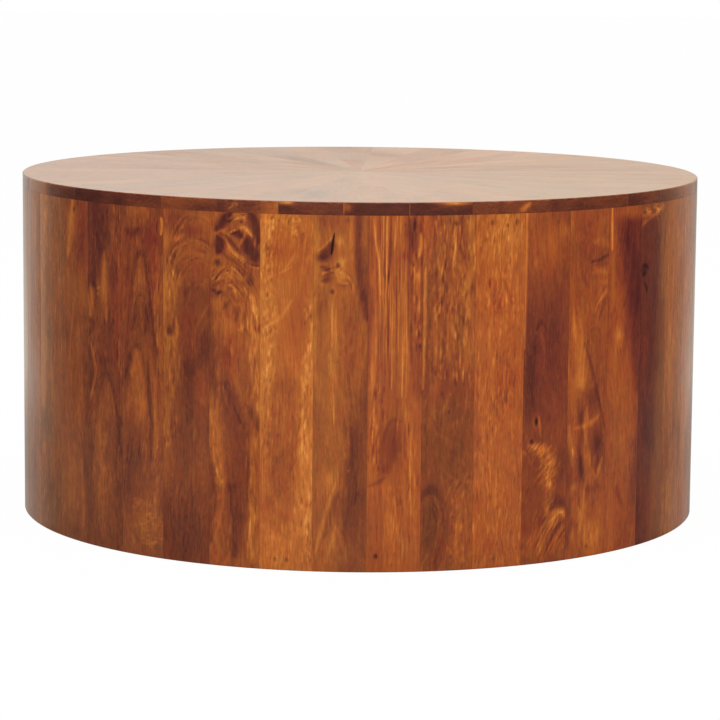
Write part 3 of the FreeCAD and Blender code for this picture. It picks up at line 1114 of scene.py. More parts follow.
# Staves that the front view shows, by their number in the wall: how each was cut, then its marks.
STAVE_FIGURES: dict[int, Figure] = {
    36: Figure(0.4, warm=0.4, pith=60, taper=0.02, bands=0.04, lines=0.04).marked(
        Side(((-12, 150), (-10, 210), (-13, 300), (-4, 385)), Hand.LEFT, 0.13, 5),
        Streak(-2, 225, 9, 30, -0.1, 0.2), Streak(-10, 125, 20, 20, -0.1, 0.2),
        Streak(-18, 95, 7, 9, 0.08), Streak(0, 40, 30, 40, -0.11, 0.1), Streak(12, 66, 4, 6, 0.06),
        Streak(22, 250, 7, 80, 0.02, -0.4), Streak(2, 180, 8, 12, 0.05),
    ),
    37: Figure(0.39, warm=0.2, pith=60, taper=0.03, bands=0.04, lines=0.04, fleck=0.06).marked(
        Stroke(((2, 390), (-1, 372), (-5, 348), (-12, 322)), 7, 0.17, 0.2),
        Stroke(((0, 384), (-4, 360)), 2, 0.06),
        Streak(18, 350, 13, 45, -0.07, -0.6), Streak(12, 286, 14, 20, 0.07, 0.2),
        Streak(-17, 237, 10, 14, -0.07),
        Stroke(((2, 275), (-4, 240), (-10, 200)), 2.5, 0.07),
        Streak(-8, 60, 14, 45, 0.05, 0.2),
        Stroke(((14, 95), (19, 55), (20, 20)), 3, 0.08),
        Side(((22, 200), (18, 90), (23, 40), (22, 5)), Hand.RIGHT, -0.11, 5),
        Streak(4, 12, 12, 9, -0.12), Streak(24, 235, 6, 20, -0.06), Streak(-24, 330, 6, 50, 0.03, 0.3),
    ),
    38: Figure(0.345, warm=0.22, pith=0, depth=9, taper=0.13, ring=10, bands=0.03, lines=0.04).marked(
        Side(((13, 388), (8, 345), (-8, 318), (-14, 296)), Hand.LEFT, -0.12, 8, -0.3, 10),
        Stroke(((0, 332), (0, 305), (2, 280), (4, 256)), 3.8, 0.19),
        Streak(-4, 285, 7, 26, 0.09),
        Stroke(((-14, 290), (-7, 293)), 1.6, 0.18), Stroke(((-14, 284), (-8, 286)), 1.8, 0.16),
        Stroke(((-19, 299), (-15, 290), (-12, 281)), 2.6, -0.12),
        Stroke(((-24, 295), (-23, 275), (-26, 257)), 4.2, 0.16),
        Stroke(((-29, 258), (-20, 250), (-27, 238)), 4, -0.1),
        Streak(-12, 243, 5, 4, 0.09, lean=0.4),
        Stroke(((-24, 230), (-18, 210), (-15, 198), (-20, 182), (-25, 166)), 2.2, 0.15),
        Strands(((-26, 232), (-19, 212), (-16, 198), (-21, 180), (-27, 160)), 5, 0.09, 16, 0.4),
        Stroke(((-28, 224), (-22, 203), (-26, 176)), 3, -0.1),
        Streak(-2, 211, 7, 8, -0.08), Streak(3, 219, 2.5, 4, 0.08),
        Arch(3, 197, 17, 44, 2.6, -0.1, 0.03, 130),
        Strands(((-17, 140), (-8, 180), (3, 194), (13, 180), (20, 140)), 4, 0.06, 18, 0.3),
        Streak(13, 280, 5, 70, -0.04, -0.3), Streak(23, 290, 7, 90, 0.02, -0.5),
        Strands(((22, 388), (22, 300), (24, 190)), 6, 0.13, 44, 0.1, 0.8, 0.3),
        Streak(16, 365, 1.6, 22, 0.12), Streak(-4, 85, 6, 40, 0.11), Streak(-12, 140, 10, 16, 0.05),
        Streak(-2, 25, 7, 14, 0.04), Streak(0, 215, 30, 40, -0.05, -0.2),
        Streak(-26, 100, 5, 100, -0.09), Streak(22, 90, 7, 100, -0.08),
    ),
    39: Figure(0.38, warm=0.1, pith=-2, depth=6, taper=0.14, ring=10, bands=0.03, lines=0.04).marked(
        Streak(-5, 381, 17, 8, 0.1),
        Stroke(((-26, 360), (-14, 357), (-4, 362)), 4.6, -0.14, -0.2),
        Streak(10, 352, 16, 16, -0.05, -0.4),
        Arch(-2, 336, 17, 76, 3.4, -0.15, 0.03, 120), Arch(-2, 292, 12, 36, 4, -0.08, -0.05, 50),
        Strands(((-15, 262), (-9, 282), (-2, 289), (5, 282), (10, 262)), 5, 0.06, 18, 0.4, 0.9, 0.6),
        Arch(-7, 233, 13, 36, 3, -0.11, 0.07, 70),
        Stroke(((-18, 345), (-21, 305), (-26, 270)), 2.6, -0.1),
        Streak(-3, 311, 9, 16, 0.1),
        Stroke(((7, 322), (12, 300), (16, 278), (19, 258), (20, 240)), 1.3, 0.14),
        Streak(-1, 262, 11, 24, -0.06),
        Stroke(((-14, 232), (-20, 217), (-26, 194)), 3.4, -0.1),
        Streak(-8, 203, 10, 20, 0.08, 0.1),
        Stroke(((8, 218), (10, 180), (13, 150), (12, 110)), 2.8, -0.14),
        Streak(0, 168, 5, 14, 0.13), Streak(-5, 148, 8, 14, 0.05), Streak(18, 170, 3.5, 34, 0.11),
        Strands(((17, 200), (19, 150), (18, 110)), 4, 0.09, 18, 0.2),
        Streak(-4, 115, 3, 20, -0.11), Streak(-20, 92, 9, 40, -0.13), Streak(20, 70, 4, 40, 0.1),
        Streak(4, 34, 24, 28, 0.09, 0.2),
        Flame(((-6, 62), (8, 46), (16, 30), (14, 12)), 22, 0.08, 80, 12, 9, 1),
        Stroke(((27, 376), (28, 367), (26, 357)), 2.4, 0.46, 0.3),
        Strands(((25, 345), (22, 290), (21, 245), (24, 200)), 4.5, 0.15, 36, 0.12, 0.8, 0.2),
        Side(((23, 320), (22, 260), (24, 200), (24, 150)), Hand.RIGHT, 0.07, 4),
        Streak(1, 349, 1.4, 4, -0.14), Streak(-26, 385, 4, 14, -0.12),
        Streak(17, 325, 8, 50, 0.02, -0.5), Streak(-21, 300, 6, 60, 0.02, -0.4),
    ),
    40: Figure(
        0.45, warm=0.1, pith=120, depth=14, taper=0.02, ring=12, bands=0.02, lines=0.02, fleck=0.06,
        blotch=0.08,
    ).marked(
        Arch(14, 312, 30, 26, 9, 0, -0.13, 600),
        Side(((-9, 300), (-8, 250), (-9, 210), (-14, 150), (-22, 100)), Hand.LEFT, 0.14, 9, 0.15, 30),
        Streak(-19, 225, 7, 34, 0.06, 0.1), Streak(-21, 300, 8, 22, 0.06, 0.2),
        Strands(((-20, 340), (-19, 250), (-21, 120)), 9, 0.14, 110, 0.06, 0.8, 0.4),
        Strands(
            ((-24, 312), (-17, 338), (-6, 349), (10, 354), (22, 351), (31, 344)),
            5, 0.07, 50, 0.25, 0.8, 0.4,
        ),
        Strands(((-20, 344), (-13, 366), (-1, 379), (14, 383), (29, 374)), 5, 0.06, 40, 0.2, 0.8, 0.4),
        Strands(((-14, 305), (-6, 324), (6, 335), (20, 337), (31, 330)), 8, 0.07, 44, 0.25, 0.9, 0.4),
        Strands(((-4, 280), (2, 300), (14, 310), (30, 306)), 8, 0.06, 30, 0.3, 0.9, 0.5),
        Stroke(((-14, 362), (-4, 378), (8, 382), (20, 381), (29, 374)), 1.1, 0.06, 0.2),
        Stroke(((-11, 336), (-6, 345), (4, 352), (14, 353), (24, 350), (30, 345)), 1.1, 0.1, 0.2, 0.6),
        Streak(10, 364, 15, 7, -0.09, -0.4), Streak(12, 322, 14, 7, -0.05, -0.3),
        Streak(-17, 337, 6, 9, -0.1, -0.2), Streak(-18, 376, 12, 12, -0.09, -0.3),
        Flame(((-14, 352), (-8, 360), (-2, 372)), 5, 0.08, 22, 48, 7),
        Stroke(((12, 240), (12, 255), (18, 268), (29, 286)), 1.8, 0.1),
        Stroke(((17, 248), (21, 259), (29, 270)), 2, 0.05),
        Streak(24, 234, 8, 20, -0.11), Streak(8, 218, 14, 18, -0.05), Streak(2, 260, 10, 26, 0, -0.3),
        Streak(20, 185, 9, 30, 0.07, -0.3), Streak(2, 180, 5, 50, -0.04),
        Stroke(((-12, 268), (-11, 252), (-15, 236)), 1.5, 0.16),
        Streak(-25, 352, 4.5, 12, 0.15, 0.2),
        Stroke(((-27, 386), (-25, 370)), 1.5, 0.14),
        Streak(20, 110, 8, 34, 0.09), Streak(-20, 110, 6, 34, 0.05), Streak(-4, 28, 34, 34, -0.09),
        Strands(((4, 160), (6, 90), (2, 10)), 20, 0.05, 60, 0.14, 1, 0.5),
        Knot(-20, 254, 5, 0.3, 1, 1.1),
    ),
    41: Figure(
        0.49, warm=0.05, pith=5, depth=10, taper=0.07, ring=9, bands=0.03, lines=0.04, fleck=0.07, wander=4,
    ).marked(
        Stroke(((-21, 367), (-13, 376), (-5, 386)), 5, -0.34, -0.2, 0.5),
        Stroke(((16, 390), (23, 376), (27, 356)), 5.4, -0.34, -0.2, 0.5),
        Stroke(((-3, 364), (4, 364), (10, 360)), 4.2, -0.32, -0.2),
        Stroke(((-18, 360), (-17, 352), (-19, 343)), 5.6, -0.36, -0.2, 0.5),
        Stroke(((-10, 361), (-1, 351), (5, 345)), 2, -0.24),
        Stroke(((13, 357), (18, 348), (24, 338)), 8.4, -0.35, -0.2, 0.6),
        Stroke(((-5, 383), (3, 385), (12, 382)), 1.1, 0.16, 0.2),
        Stroke(((1, 379), (8, 381), (14, 377)), 1.3, 0.26, 0.2),
        Strands(((-8, 376), (2, 383), (14, 381)), 5, 0.12, 26, 0.4, 0.8, 0.5),
        Knot(8, 376, 1.6, 0.26, 0.4, 1),
        Stroke(((-4, 365), (4, 369), (12, 368.5), (19.5, 362)), 1.5, 0.4, 0.3, 0.4),
        Strands(((-8, 363), (4, 369), (13, 368), (22, 359)), 3.4, 0.14, 18, 0.35, 0.7, 0.35),
        Stroke(((12, 366), (10, 358), (5, 350)), 1.6, 0.28, 0.1),
        Strands(((13, 366), (11, 358), (5, 348)), 3, 0.12, 12, 0.5, 0.7, 0.3),
        Stroke(((24, 360), (23, 350)), 1.2, 0.22), Stroke(((-22, 363), (-15, 365.5), (-8, 369)), 1.4, 0.14),
        Stroke(((-19, 361), (-11, 357), (-5, 347), (3, 340), (12, 334)), 2, 0.23, 0.1, 0.5),
        Strands(((-20, 362), (-11, 356), (-4, 346), (5, 338), (14, 332)), 5, 0.13, 44, 0.3, 0.7, 0.4),
        Streak(10, 337, 4, 5, 0.16, 0.3),
        Stroke(((-17, 345), (-8, 338), (0, 333), (8, 328), (14, 321)), 1.6, -0.15),
        Stroke(((8, 336), (16, 332), (22, 330), (30, 330)), 1.2, -0.22, ends=0.7),
        Stroke(((14, 334), (20, 329), (29, 327)), 1, 0.16),
        Strands(
            ((-24, 312), (-9, 326), (5, 319), (16, 303), (22, 282), (25, 256)),
            11, 0.16, 130, 0.12, 0.8, 0.45,
        ),
        Strands(((-20, 296), (-8, 306), (4, 298), (10, 280), (8, 258)), 11, 0.11, 70, 0.18, 0.9, 0.45),
        Streak(-6, 318, 14, 10, 0.09, 0.1), Streak(17, 315, 4, 12, -0.1),
        Stroke(((-26, 318), (-20, 312), (-25, 306)), 2.5, -0.14),
        Stroke(((-26, 302), (-18, 299), (-12, 301)), 2.4, -0.26),
        Streak(-20, 295, 4, 3, -0.12),
        Stroke(((-13, 281), (-6, 290)), 2.2, -0.15), Stroke(((1, 273), (6, 262)), 2, -0.16, -0.3),
        Streak(-6, 266, 10, 10, 0.12, 0.1), Streak(-16, 288, 5, 6, 0.08),
        Strands(((16, 304), (22, 260), (25, 215), (28, 170)), 7, 0.12, 90, 0.1, 0.8, 0.3),
        Side(((17, 290), (19, 220), (24, 175)), Hand.RIGHT, 0.12, 4, 0.1),
        Side(((-25, 300), (-24, 260), (-20, 215), (-22, 180)), Hand.LEFT, -0.15, 4),
        Streak(-4, 235, 10, 25, -0.04, -0.4),
        Strands(((-6, 250), (-2, 215), (4, 180)), 9, 0.07, 40, 0.2, 0.9),
        Stroke(((-13, 200), (-9, 182), (-6, 174)), 1.4, 0.14),
        Stroke(((-10, 200), (1, 166), (5, 138), (5, 100), (2, 60), (0, 15)), 12.5, -0.17, -0.1, 0.4),
        Stroke(((-3, 182), (4, 168), (12, 151)), 1.2, -0.1),
        Stroke(((14, 179), (21, 168), (29, 152)), 4, -0.14),
        Stroke(((-29, 190), (-26, 160), (-21, 130), (-16, 92)), 8, 0.14, 0.1, 0.5),
        Strands(((-28, 182), (-24, 148), (-18, 112), (-15, 90)), 7, 0.11, 60, 0.14, 0.8, 0.35),
        Stroke(((-14, 112), (-12, 84), (-15, 56), (-25, 24)), 1.8, 0.1),
        Side(((-29, 128), (-22, 106), (-19, 80), (-21, 58), (-29, 26)), Hand.LEFT, -0.16, 3, soft=6),
        Streak(22, 136, 6, 14, 0.1, 0.2),
        Strands(((22, 150), (20, 100), (22, 60), (20, 8)), 7, 0.14, 60, 0.14, 0.8, 0.3),
        Stroke(((20, 110), (22, 72), (20, 42), (23, 8)), 5, 0.1, 0.2, 0.6),
        Strands(((-6, 110), (-4, 60), (-8, 10)), 8, 0.07, 30, 0.2, 0.9),
        Stroke(((-12, 2), (-6, 10), (-2, 24)), 2.2, 0.1), Stroke(((-20, 3), (-18, 14)), 2.4, 0.1),
        Knot(-19, 331, 4.2, 0.28, 0.8, 1),
        Crack(((20, 330), (24, 329.2), (29, 328.6)), 0.7, 0.5),
    ),
    42: Figure(
        0.64, warm=0.1, pith=8, depth=20, taper=0.1, ring=10, bands=0.02, lines=0.03, fleck=0.12,
        blotch=0.1,
    ).marked(
        Streak(-4, 348, 14, 17, -0.09, -0.3), Streak(18, 344, 8, 34, -0.05, -0.2),
        Streak(4, 378, 12, 9, 0.05, 0.3),
        Side(
            ((-14, 372), (-19, 345), (-17, 318), (-12, 290), (-11, 240), (-15, 205), (-20, 170)),
            Hand.LEFT, 0.06, 4, 0.2,
        ),
        Stroke(((-24, 264), (-14, 270), (-7, 275), (1, 286), (6, 295)), 2.2, 0.1, 0.2),
        Stroke(((0, 330), (5, 337), (10, 347)), 1.2, 0.12, 0.2),
        Stroke(((-9, 322), (0, 327), (6, 331)), 1.3, 0.1, 0.2),
        Streak(14, 262, 9, 40, -0.09, -0.3), Streak(2, 250, 8, 26, -0.03, -0.2),
        Side(((26, 292), (20, 235), (14, 180), (13, 130), (13, 80), (20, 40)), Hand.RIGHT, 0.07, 4, 0.1),
        Stroke(((0, 218), (-3, 175), (-5, 130), (-8, 84)), 15, -0.09, -0.1, 0.3),
        Stroke(((6, 200), (9, 165), (8, 128), (4, 92), (2, 52)), 5, -0.07, -0.1, 0.4),
        Streak(-8, 110, 17, 22, -0.07), Streak(-7, 84, 8, 9, -0.09),
        Streak(-20, 72, 12, 12, -0.07, -0.3), Streak(0, 58, 8, 14, -0.07, -0.2),
        Stroke(((-29, 58), (-20, 54), (-10, 50)), 2.4, -0.05),
        Streak(-8, 24, 18, 16, 0.06, -0.1),
        Strands(((-14, 388), (-22, 345), (-20, 300), (-20, 250), (-18, 205)), 8, 0.15, 170, 0.035, 1, 0.45),
        Strands(((4, 388), (8, 374), (14, 360)), 12, 0.13, 60, 0.12, 1, 0.5),
        Strands(((26, 290), (22, 220), (20, 140), (22, 60), (24, 10)), 7, 0.15, 150, 0.035, 0.9, 0.4),
        Texture(Trait.FLECK, 7, 285, 19, 95, -0.09), Texture(Trait.BLOTCH, 7, 285, 19, 95, -0.05),
        Texture(Trait.LINES, 7, 285, 19, 95, -0.02),
        Strands(((-20, 200), (-20, 150), (-22, 100)), 7, 0.1, 60, 0.08, 0.9, 0.5),
        Strands(((-10, 50), (-8, 24), (-10, 2)), 18, 0.07, 50, 0.14, 0.9, 0.4),
    ),
    43: Figure(
        0.53, warm=0.22, pith=2, depth=24, taper=0.09, ring=9, bands=0.03, lines=0.04, fleck=0.07,
        blotch=0.08,
    ).marked(
        Side(((-24, 392), (-25, 300), (-26, 220)), Hand.LEFT, 0.08, 2, 0.3),
        Stroke(((18, 392), (18, 352), (19, 326), (23, 302), (28, 276)), 3.6, -0.24, -0.3, 0.8),
        Side(((17, 392), (17, 350), (19, 325), (25, 300), (29, 270)), Hand.RIGHT, -0.04, 3, -0.1),
        Side(
            ((25, 330), (29, 290), (27, 240), (19, 180), (8, 125), (-2, 85), (2, 0)),
            Hand.RIGHT, -0.11, 6, -0.1,
        ),
        Streak(-6, 380, 15, 10, -0.09, -0.4),
        Stroke(((-22, 341), (-15, 345), (-10, 354)), 6, -0.29, -0.4, 0.7),
        Streak(-18, 341, 5, 3.5, -0.1),
        Stroke(((-25, 348), (-19, 352), (-10, 362)), 1.3, 0.2, 0.2),
        Stroke(((-21, 331), (-14, 327), (-15, 318), (-20, 315)), 3.8, -0.25, -0.3),
        Streak(2, 336, 4, 5, 0.25, 0.4), Streak(-1, 358, 4.5, 5, 0.17, 0.3),
        Streak(13, 360, 3, 6, 0.05),
        Stroke(((-6, 325), (0, 324), (8, 319)), 4.6, 0.15, 0.3),
        Stroke(((-4, 316), (2, 314), (8, 314)), 1.4, 0.12, 0.3),
        Stroke(((-2, 312), (3, 311), (7, 312)), 1.2, -0.1),
        Strands(((-20, 322), (-4, 326), (8, 316), (12, 300)), 8, 0.1, 36, 0.25, 1),
        Streak(3, 304, 3, 5, 0.08), Streak(-21, 313, 4, 3, 0.12, 0.3),
        Stroke(((10, 388), (11, 360), (12, 325)), 2, 0.07),
        Streak(-8, 256, 7.5, 40, 0.13, 0.1), Streak(13, 250, 9, 60, -0.07, -0.3),
        Streak(-8, 190, 2.6, 30, 0.06), Streak(-16, 380, 8, 8, -0.06, -0.2),
        Streak(-11, 102, 6, 12, 0.14, 0.1),
        Stroke(((-4, 98), (-14, 66), (-26, 20)), 2.2, 0.15),
        Stroke(((-1, 86), (-9, 62), (-16, 38)), 5, -0.12, -0.1),
        Stroke(((-4, 50), (-8, 32), (-13, 10)), 2, 0.09), Stroke(((-4, 50), (3, 34), (9, 12)), 2.4, 0.1),
        Stroke(((28, 246), (23, 222), (20, 198)), 1.5, 0.1),
        Streak(9.5, 111, 1, 1, 0.5, -0.6),
        Stroke(((10, 175), (14, 150), (14, 110)), 3, -0.08),
        Streak(14, 60, 12, 40, -0.08), Streak(16, 115, 11, 70, -0.12), Streak(12, 24, 12, 18, 0.03),
        Streak(-24, 120, 5, 60, -0.05),
        Strands(((-9, 300), (-8, 230), (-7, 160)), 5, 0.08, 24, 0.2, 0.8, 0.3),
        Strands(((4, 290), (6, 220), (14, 140), (8, 40)), 12, 0.06, 60, 0.12, 0.9, 0.5),
        Knot(-3, 333, 2.1, 0.38, 0.6, 1.2), Knot(-9, 304.5, 2.3, 0.3, 0.6, 1.1),
        Crack(((-10.4, 343), (-9.2, 354), (-7.2, 367)), 1.5, 1),
    ),
    1: Figure(
        0.55, warm=-0.1, pith=-120, taper=0, ring=10, bands=0.04, lines=0.07, fleck=0.05, blotch=0.06,
        wander=1.5,
    ).marked(
        Side(((-24, 388), (-24, 300), (-27, 220)), Hand.LEFT, -0.13, 3, -0.2),
        Stroke(((-24, 382), (-22, 360), (-18, 335), (-16, 302)), 1, 0.28, 0.2, 0.5),
        Streak(-17, 364, 1.8, 18, -0.22, -0.2), Streak(-12, 374, 1.6, 20, 0.17, 0.2),
        Streak(-9, 368, 1, 22, 0.14, 0.3), Streak(-13, 338, 1.6, 26, -0.1),
        Stroke(((-5, 390), (-6, 342), (-8, 314)), 1, -0.22, -0.2, 0.5),
        Stroke(((1, 390), (0, 375), (-2, 350)), 1.2, 0.2, 0.2), Stroke(((5, 388), (5, 366)), 1.1, 0.2, 0.3),
        Streak(-2, 345, 1.2, 24, 0.12), Streak(9, 372, 1.6, 18, -0.08),
        Streak(16, 360, 5, 22, -0.24, -0.3), Streak(10, 342, 4, 5, -0.12, -0.4),
        Side(((15, 388), (14, 320), (14, 250), (20, 200)), Hand.RIGHT, -0.11, 3, -0.1),
        Stroke(((26, 368), (27, 356), (25, 342)), 1.8, 0.3, 0.3),
        Streak(20, 322, 1.2, 8, 0.34, 0.3), Streak(25, 322, 1.8, 9, 0.34, 0.3),
        Streak(25, 296, 1.3, 22, 0.22), Streak(20, 270, 1.2, 26, 0.12),
        Streak(7, 295, 5, 42, 0.08, 0.2),
        Stroke(((11, 322), (12, 270), (13, 238)), 1.2, 0.14, 0.2),
        Streak(-6, 300, 1.2, 24, 0.14), Streak(-8, 321, 1.4, 5, -0.15), Streak(-22, 240, 4, 30, 0.06),
        Strands(((-10, 392), (-10, 330), (-9, 270), (-9, 200)), 15, 0.15, 80, 0.42, 0.55, 0.45),
        Strands(((8, 392), (8, 330), (8, 270), (8, 190)), 8, 0.12, 44, 0.42, 0.55, 0.4),
        Strands(((22, 390), (22, 320), (23, 240)), 6, 0.2, 60, 0.08, 0.9, 0.4),
        Streak(-24, 212, 2, 20, 0.2, 0.2), Streak(-2, 138, 9, 25, -0.25, -0.1),
        Stroke(((-12, 110), (-13, 140), (-4, 165), (8, 165)), 2, -0.1),
        Streak(0, 114, 4, 8, 0.1), Streak(-9, 112, 6, 8, -0.16, -0.1),
        Stroke(((-29, 94), (-18, 98), (-10, 104)), 2.2, -0.14),
        Strands(((-18, 205), (-20, 160), (-22, 110)), 7, 0.15, 60, 0.15, 0.8, 0.4),
        Streak(18, 130, 1.8, 30, 0.16),
        Strands(((16, 190), (18, 120), (20, 60)), 8, 0.11, 50, 0.15, 0.8, 0.4),
        Streak(0, 55, 12, 46, 0.05), Streak(3, 38, 1.2, 14, 0.16),
        Strands(((0, 96), (2, 50), (0, 5)), 16, 0.1, 80, 0.18, 0.8, 0.4),
        Streak(22, 60, 4, 40, 0.05), Streak(-22, 40, 6, 40, -0.05),
    ),
    2: Figure(
        0.48, warm=0.05, pith=-60, depth=16, taper=0.03, ring=9, bands=0.03, lines=0.04, fleck=0.08,
        blotch=0.09, wander=1.5,
    ).marked(
        Stroke(((-26, 330), (-27, 300), (-27, 262), (-28, 200)), 1.9, 0.3, 0.2, 0.6),
        Side(((-24, 388), (-24, 335)), Hand.LEFT, 0.1, 3, -0.3, 6),
        Side(((-21, 300), (-21, 200), (-24, 120)), Hand.LEFT, -0.1, 4, soft=30),
        Streak(-18, 376, 8, 14, -0.12, -0.3),
        Stroke(((-16, 346), (-14, 320), (-11, 278)), 1.5, -0.12),
        Streak(-10, 322, 2, 18, 0.1),
        Stroke(((30, 342), (21, 314), (14, 300)), 3.6, 0.14, 0.2),
        Stroke(((21, 300), (18, 272)), 3, 0.15, 0.2),
        Streak(23, 376, 4, 14, 0.16, 0.3), Streak(27, 350, 3, 10, 0.16, 0.3),
        Stroke(((12, 384), (13, 356), (18, 330)), 2.2, -0.14, -0.3),
        Stroke(((5, 376), (6, 352), (5, 338)), 2.6, 0.16, 0.2),
        Streak(4, 266, 1.6, 8, 0.18, 0.3), Streak(-14, 250, 2, 16, 0.1), Streak(20, 235, 8, 24, 0.08),
        Strands(((-8, 392), (-8, 330), (-10, 270), (-12, 210)), 16, 0.15, 190, 0.06, 0.85, 0.3),
        Strands(((12, 392), (13, 330), (15, 270), (14, 200)), 15, 0.15, 180, 0.06, 0.85, 0.25),
        Streak(0, 205, 26, 26, -0.05, -0.2), Streak(2, 135, 30, 56, -0.13, 0.2),
        Strands(((0, 200), (-4, 150), (8, 100)), 22, 0.08, 80, 0.09, 0.9, 0.5),
        Stroke(((-29, 80), (-18, 90), (-6, 74), (-3, 40), (-13, 4)), 5.5, -0.14, -0.1, 0.6),
        Streak(-20, 45, 9, 40, -0.19, 0.3),
        Strands(((-28, 70), (-17, 78), (-9, 60), (-9, 30), (-18, 6)), 6, 0.07, 30, 0.3, 0.8),
        Strands(((18, 110), (10, 60), (14, 4)), 15, 0.11, 130, 0.07, 0.9, 0.35),
        Streak(16, 45, 12, 46, 0.06, -0.1),
        Texture(Trait.FLECK, -5, 90, 60, 110, -0.06),
        Knot(1, 174, 1.6, 0.16, 0.6),
    ),
    3: Figure(
        0.59, warm=-0.15, pith=90, taper=0.02, ring=9, bands=0.03, lines=0.03, fleck=0.15, blotch=0.09,
        wander=1,
    ).marked(
        Streak(8, 366, 28, 30, 0.09, 0.4), Streak(-18, 340, 10, 30, 0.04),
        Streak(0, 15, 30, 26, -0.06), Streak(-14, 225, 8, 44, 0.04),
        Streak(8, 205, 20, 26, -0.05, -0.2), Streak(-2, 290, 14, 16, -0.05, -0.3),
        Streak(12, 340, 1.6, 22, 0.1), Streak(6, 325, 1.6, 5, -0.1), Streak(-7, 300, 1.4, 7, -0.08),
        Streak(-27, 160, 4, 100, -0.05), Streak(-3, 112, 1.6, 16, 0.08),
        Strands(((0, 392), (0, 340), (0, 280)), 26, 0.13, 150, 0.08, 0.9, 0.35),
        Strands(((0, 300), (0, 240), (0, 160)), 26, 0.1, 110, 0.07, 1, 0.45),
        Strands(((0, 170), (0, 100), (0, 0)), 26, 0.07, 80, 0.07, 1, 0.45),
    ),
    4: Figure(
        0.4, warm=-0.13, pith=10, depth=20, taper=0.08, ring=10, bands=0.03, lines=0.04, fleck=0.05,
        blotch=0.07,
    ).marked(
        Stroke(((-28, 386), (-28, 330), (-29, 240)), 1.6, 0.34, ends=0.8),
        Streak(2, 352, 28, 36, 0.15), Streak(22, 365, 5, 8, 0.14, 0.2), Streak(-16, 332, 3, 5, 0.14),
        Streak(-20, 385, 14, 6, 0.1), Streak(4, 222, 32, 70, -0.15, -0.2),
        Streak(-21, 205, 8, 50, -0.13, 0.1),
        Stroke(((-14, 258), (-8, 268), (-3, 260)), 2.4, -0.12),
        Stroke(((-9, 256), (-5, 245), (-2, 232)), 2.4, 0.09),
        Streak(-14, 240, 4, 10, -0.06),
        Stroke(((-10, 164), (-8, 155), (-7, 147), (-6, 139)), 1.2, 0.24, 0.2),
        Stroke(((-30, 127), (-24, 122.5)), 1.1, 0.18),
        Stroke(
            ((-16, 131), (-7, 128), (1, 119), (5, 110), (5, 98), (6, 82), (5, 66), (3, 55)),
            9, 0.09, 0.2,
        ),
        Flame(((-15, 131), (-6, 127), (2, 117), (6, 109), (5, 98), (7, 84)), 19, 0.12, 170, 48, 8, 0.8),
        Flame(((7, 90), (6, 72), (3, 54)), 8, 0.1, 44, 45, 7, 0.8),
        Streak(21, 114, 7, 16, -0.1), Streak(20, 92, 7, 10, -0.06),
        Stroke(((8, 60), (18, 68), (29, 62)), 6, -0.15),
        Stroke(((29, 51), (18, 54), (10, 47), (2, 33), (-8, 14)), 5.5, 0.16, 0.2, 0.6),
        Strands(((29, 54), (18, 55), (8, 44), (-2, 28), (-12, 8)), 7, 0.14, 50, 0.25, 0.9, 0.35),
        Stroke(((27, 45), (18, 38), (8, 23), (0, 6)), 1.4, -0.18), Stroke(((21, 44), (12, 35)), 1.3, -0.14),
        Stroke(((14, 40), (8, 34)), 1.2, -0.12), Stroke(((29, 40), (18, 29), (6, 14), (-2, 4)), 1.8, 0.12),
        Strands(((29, 36), (18, 24), (8, 8)), 8, 0.12, 24, 0.4, 0.9, 0.4),
        Streak(18, 16, 12, 14, 0.1), Streak(-12, 26, 14, 26, 0.1),
        Strands(((-28, 70), (-16, 90), (-2, 104)), 10, 0.06, 30, 0.3, 0.9),
        Strands(((-26, 10), (-14, 30), (-4, 60)), 10, 0.07, 30, 0.3, 0.9),
        Knot(-12, 158, 2.2, 0.44, 1, 2), Knot(-18, 136, 2.2, 0.34, 0.6, 1.2),
    ),
    5: Figure(
        0.49, warm=-0.14, pith=30, depth=12, taper=0.08, ring=10, bands=0.03, lines=0.04, fleck=0.06,
        blotch=0.09,
    ).marked(
        Streak(-2, 355, 16, 34, -0.08, -0.2), Streak(-27, 375, 2.5, 20, 0.16, 0.2),
        Stroke(((6, 350), (18, 350), (30, 344)), 4.5, 0.12, 0.2),
        Stroke(((2, 329), (14, 330), (22, 332.5), (30, 334.5)), 1.8, -0.22, ends=0.4),
        Stroke(((8, 325), (18, 327), (29, 325)), 3, -0.08),
        Stroke(((4, 316), (16, 318), (30, 314)), 2.6, 0.1), Stroke(((16, 306), (30, 304)), 2.4, 0.09),
        Stroke(((10, 272), (16, 284), (29, 298)), 2.2, 0.1),
        Strands(((8, 262), (16, 280), (30, 296)), 9, 0.08, 26, 0.4, 1),
        Stroke(((14, 262), (20, 275), (30, 286)), 2.4, -0.08),
        Stroke(((-23, 281), (-22, 262), (-19, 240)), 1.8, 0.16),
        Stroke(((-16, 282), (-11, 255), (-9, 236)), 1.8, 0.08),
        Stroke(((-22, 262), (-15, 235), (-9, 210), (-8, 188)), 7, 0.15, 0.1, 0.2),
        Streak(-14, 196, 14, 12, 0.13, 0.2),
        Stroke(((-6, 240), (4, 215), (12, 190), (22, 160), (30, 138)), 2.2, -0.15),
        Streak(-15, 176, 4, 14, -0.12), Streak(-9, 158, 5, 8, -0.19), Streak(9, 176, 11, 13, -0.18),
        Streak(-10, 124, 4.5, 34, -0.25, -0.1), Streak(16, 126, 11, 20, -0.29, -0.1),
        Streak(-8, 98, 4.5, 15, -0.22),
        Stroke(((-19, 146), (-2, 148), (10, 152), (18, 157)), 3, 0.16, 0.1),
        Stroke(((-1, 168), (-2, 148), (-3, 126)), 3, 0.15),
        Stroke(((-26, 150), (-23, 120), (-20, 104)), 3, 0.14, 0.2),
        Streak(-20, 120, 2.6, 5, 0.22, 0.2), Streak(-19, 80, 4, 5, 0.18, 0.2),
        Stroke(((25, 110), (19, 97), (15, 87)), 1.8, 0.2, 0.2), Stroke(((8, 100), (14, 87)), 2, 0.13),
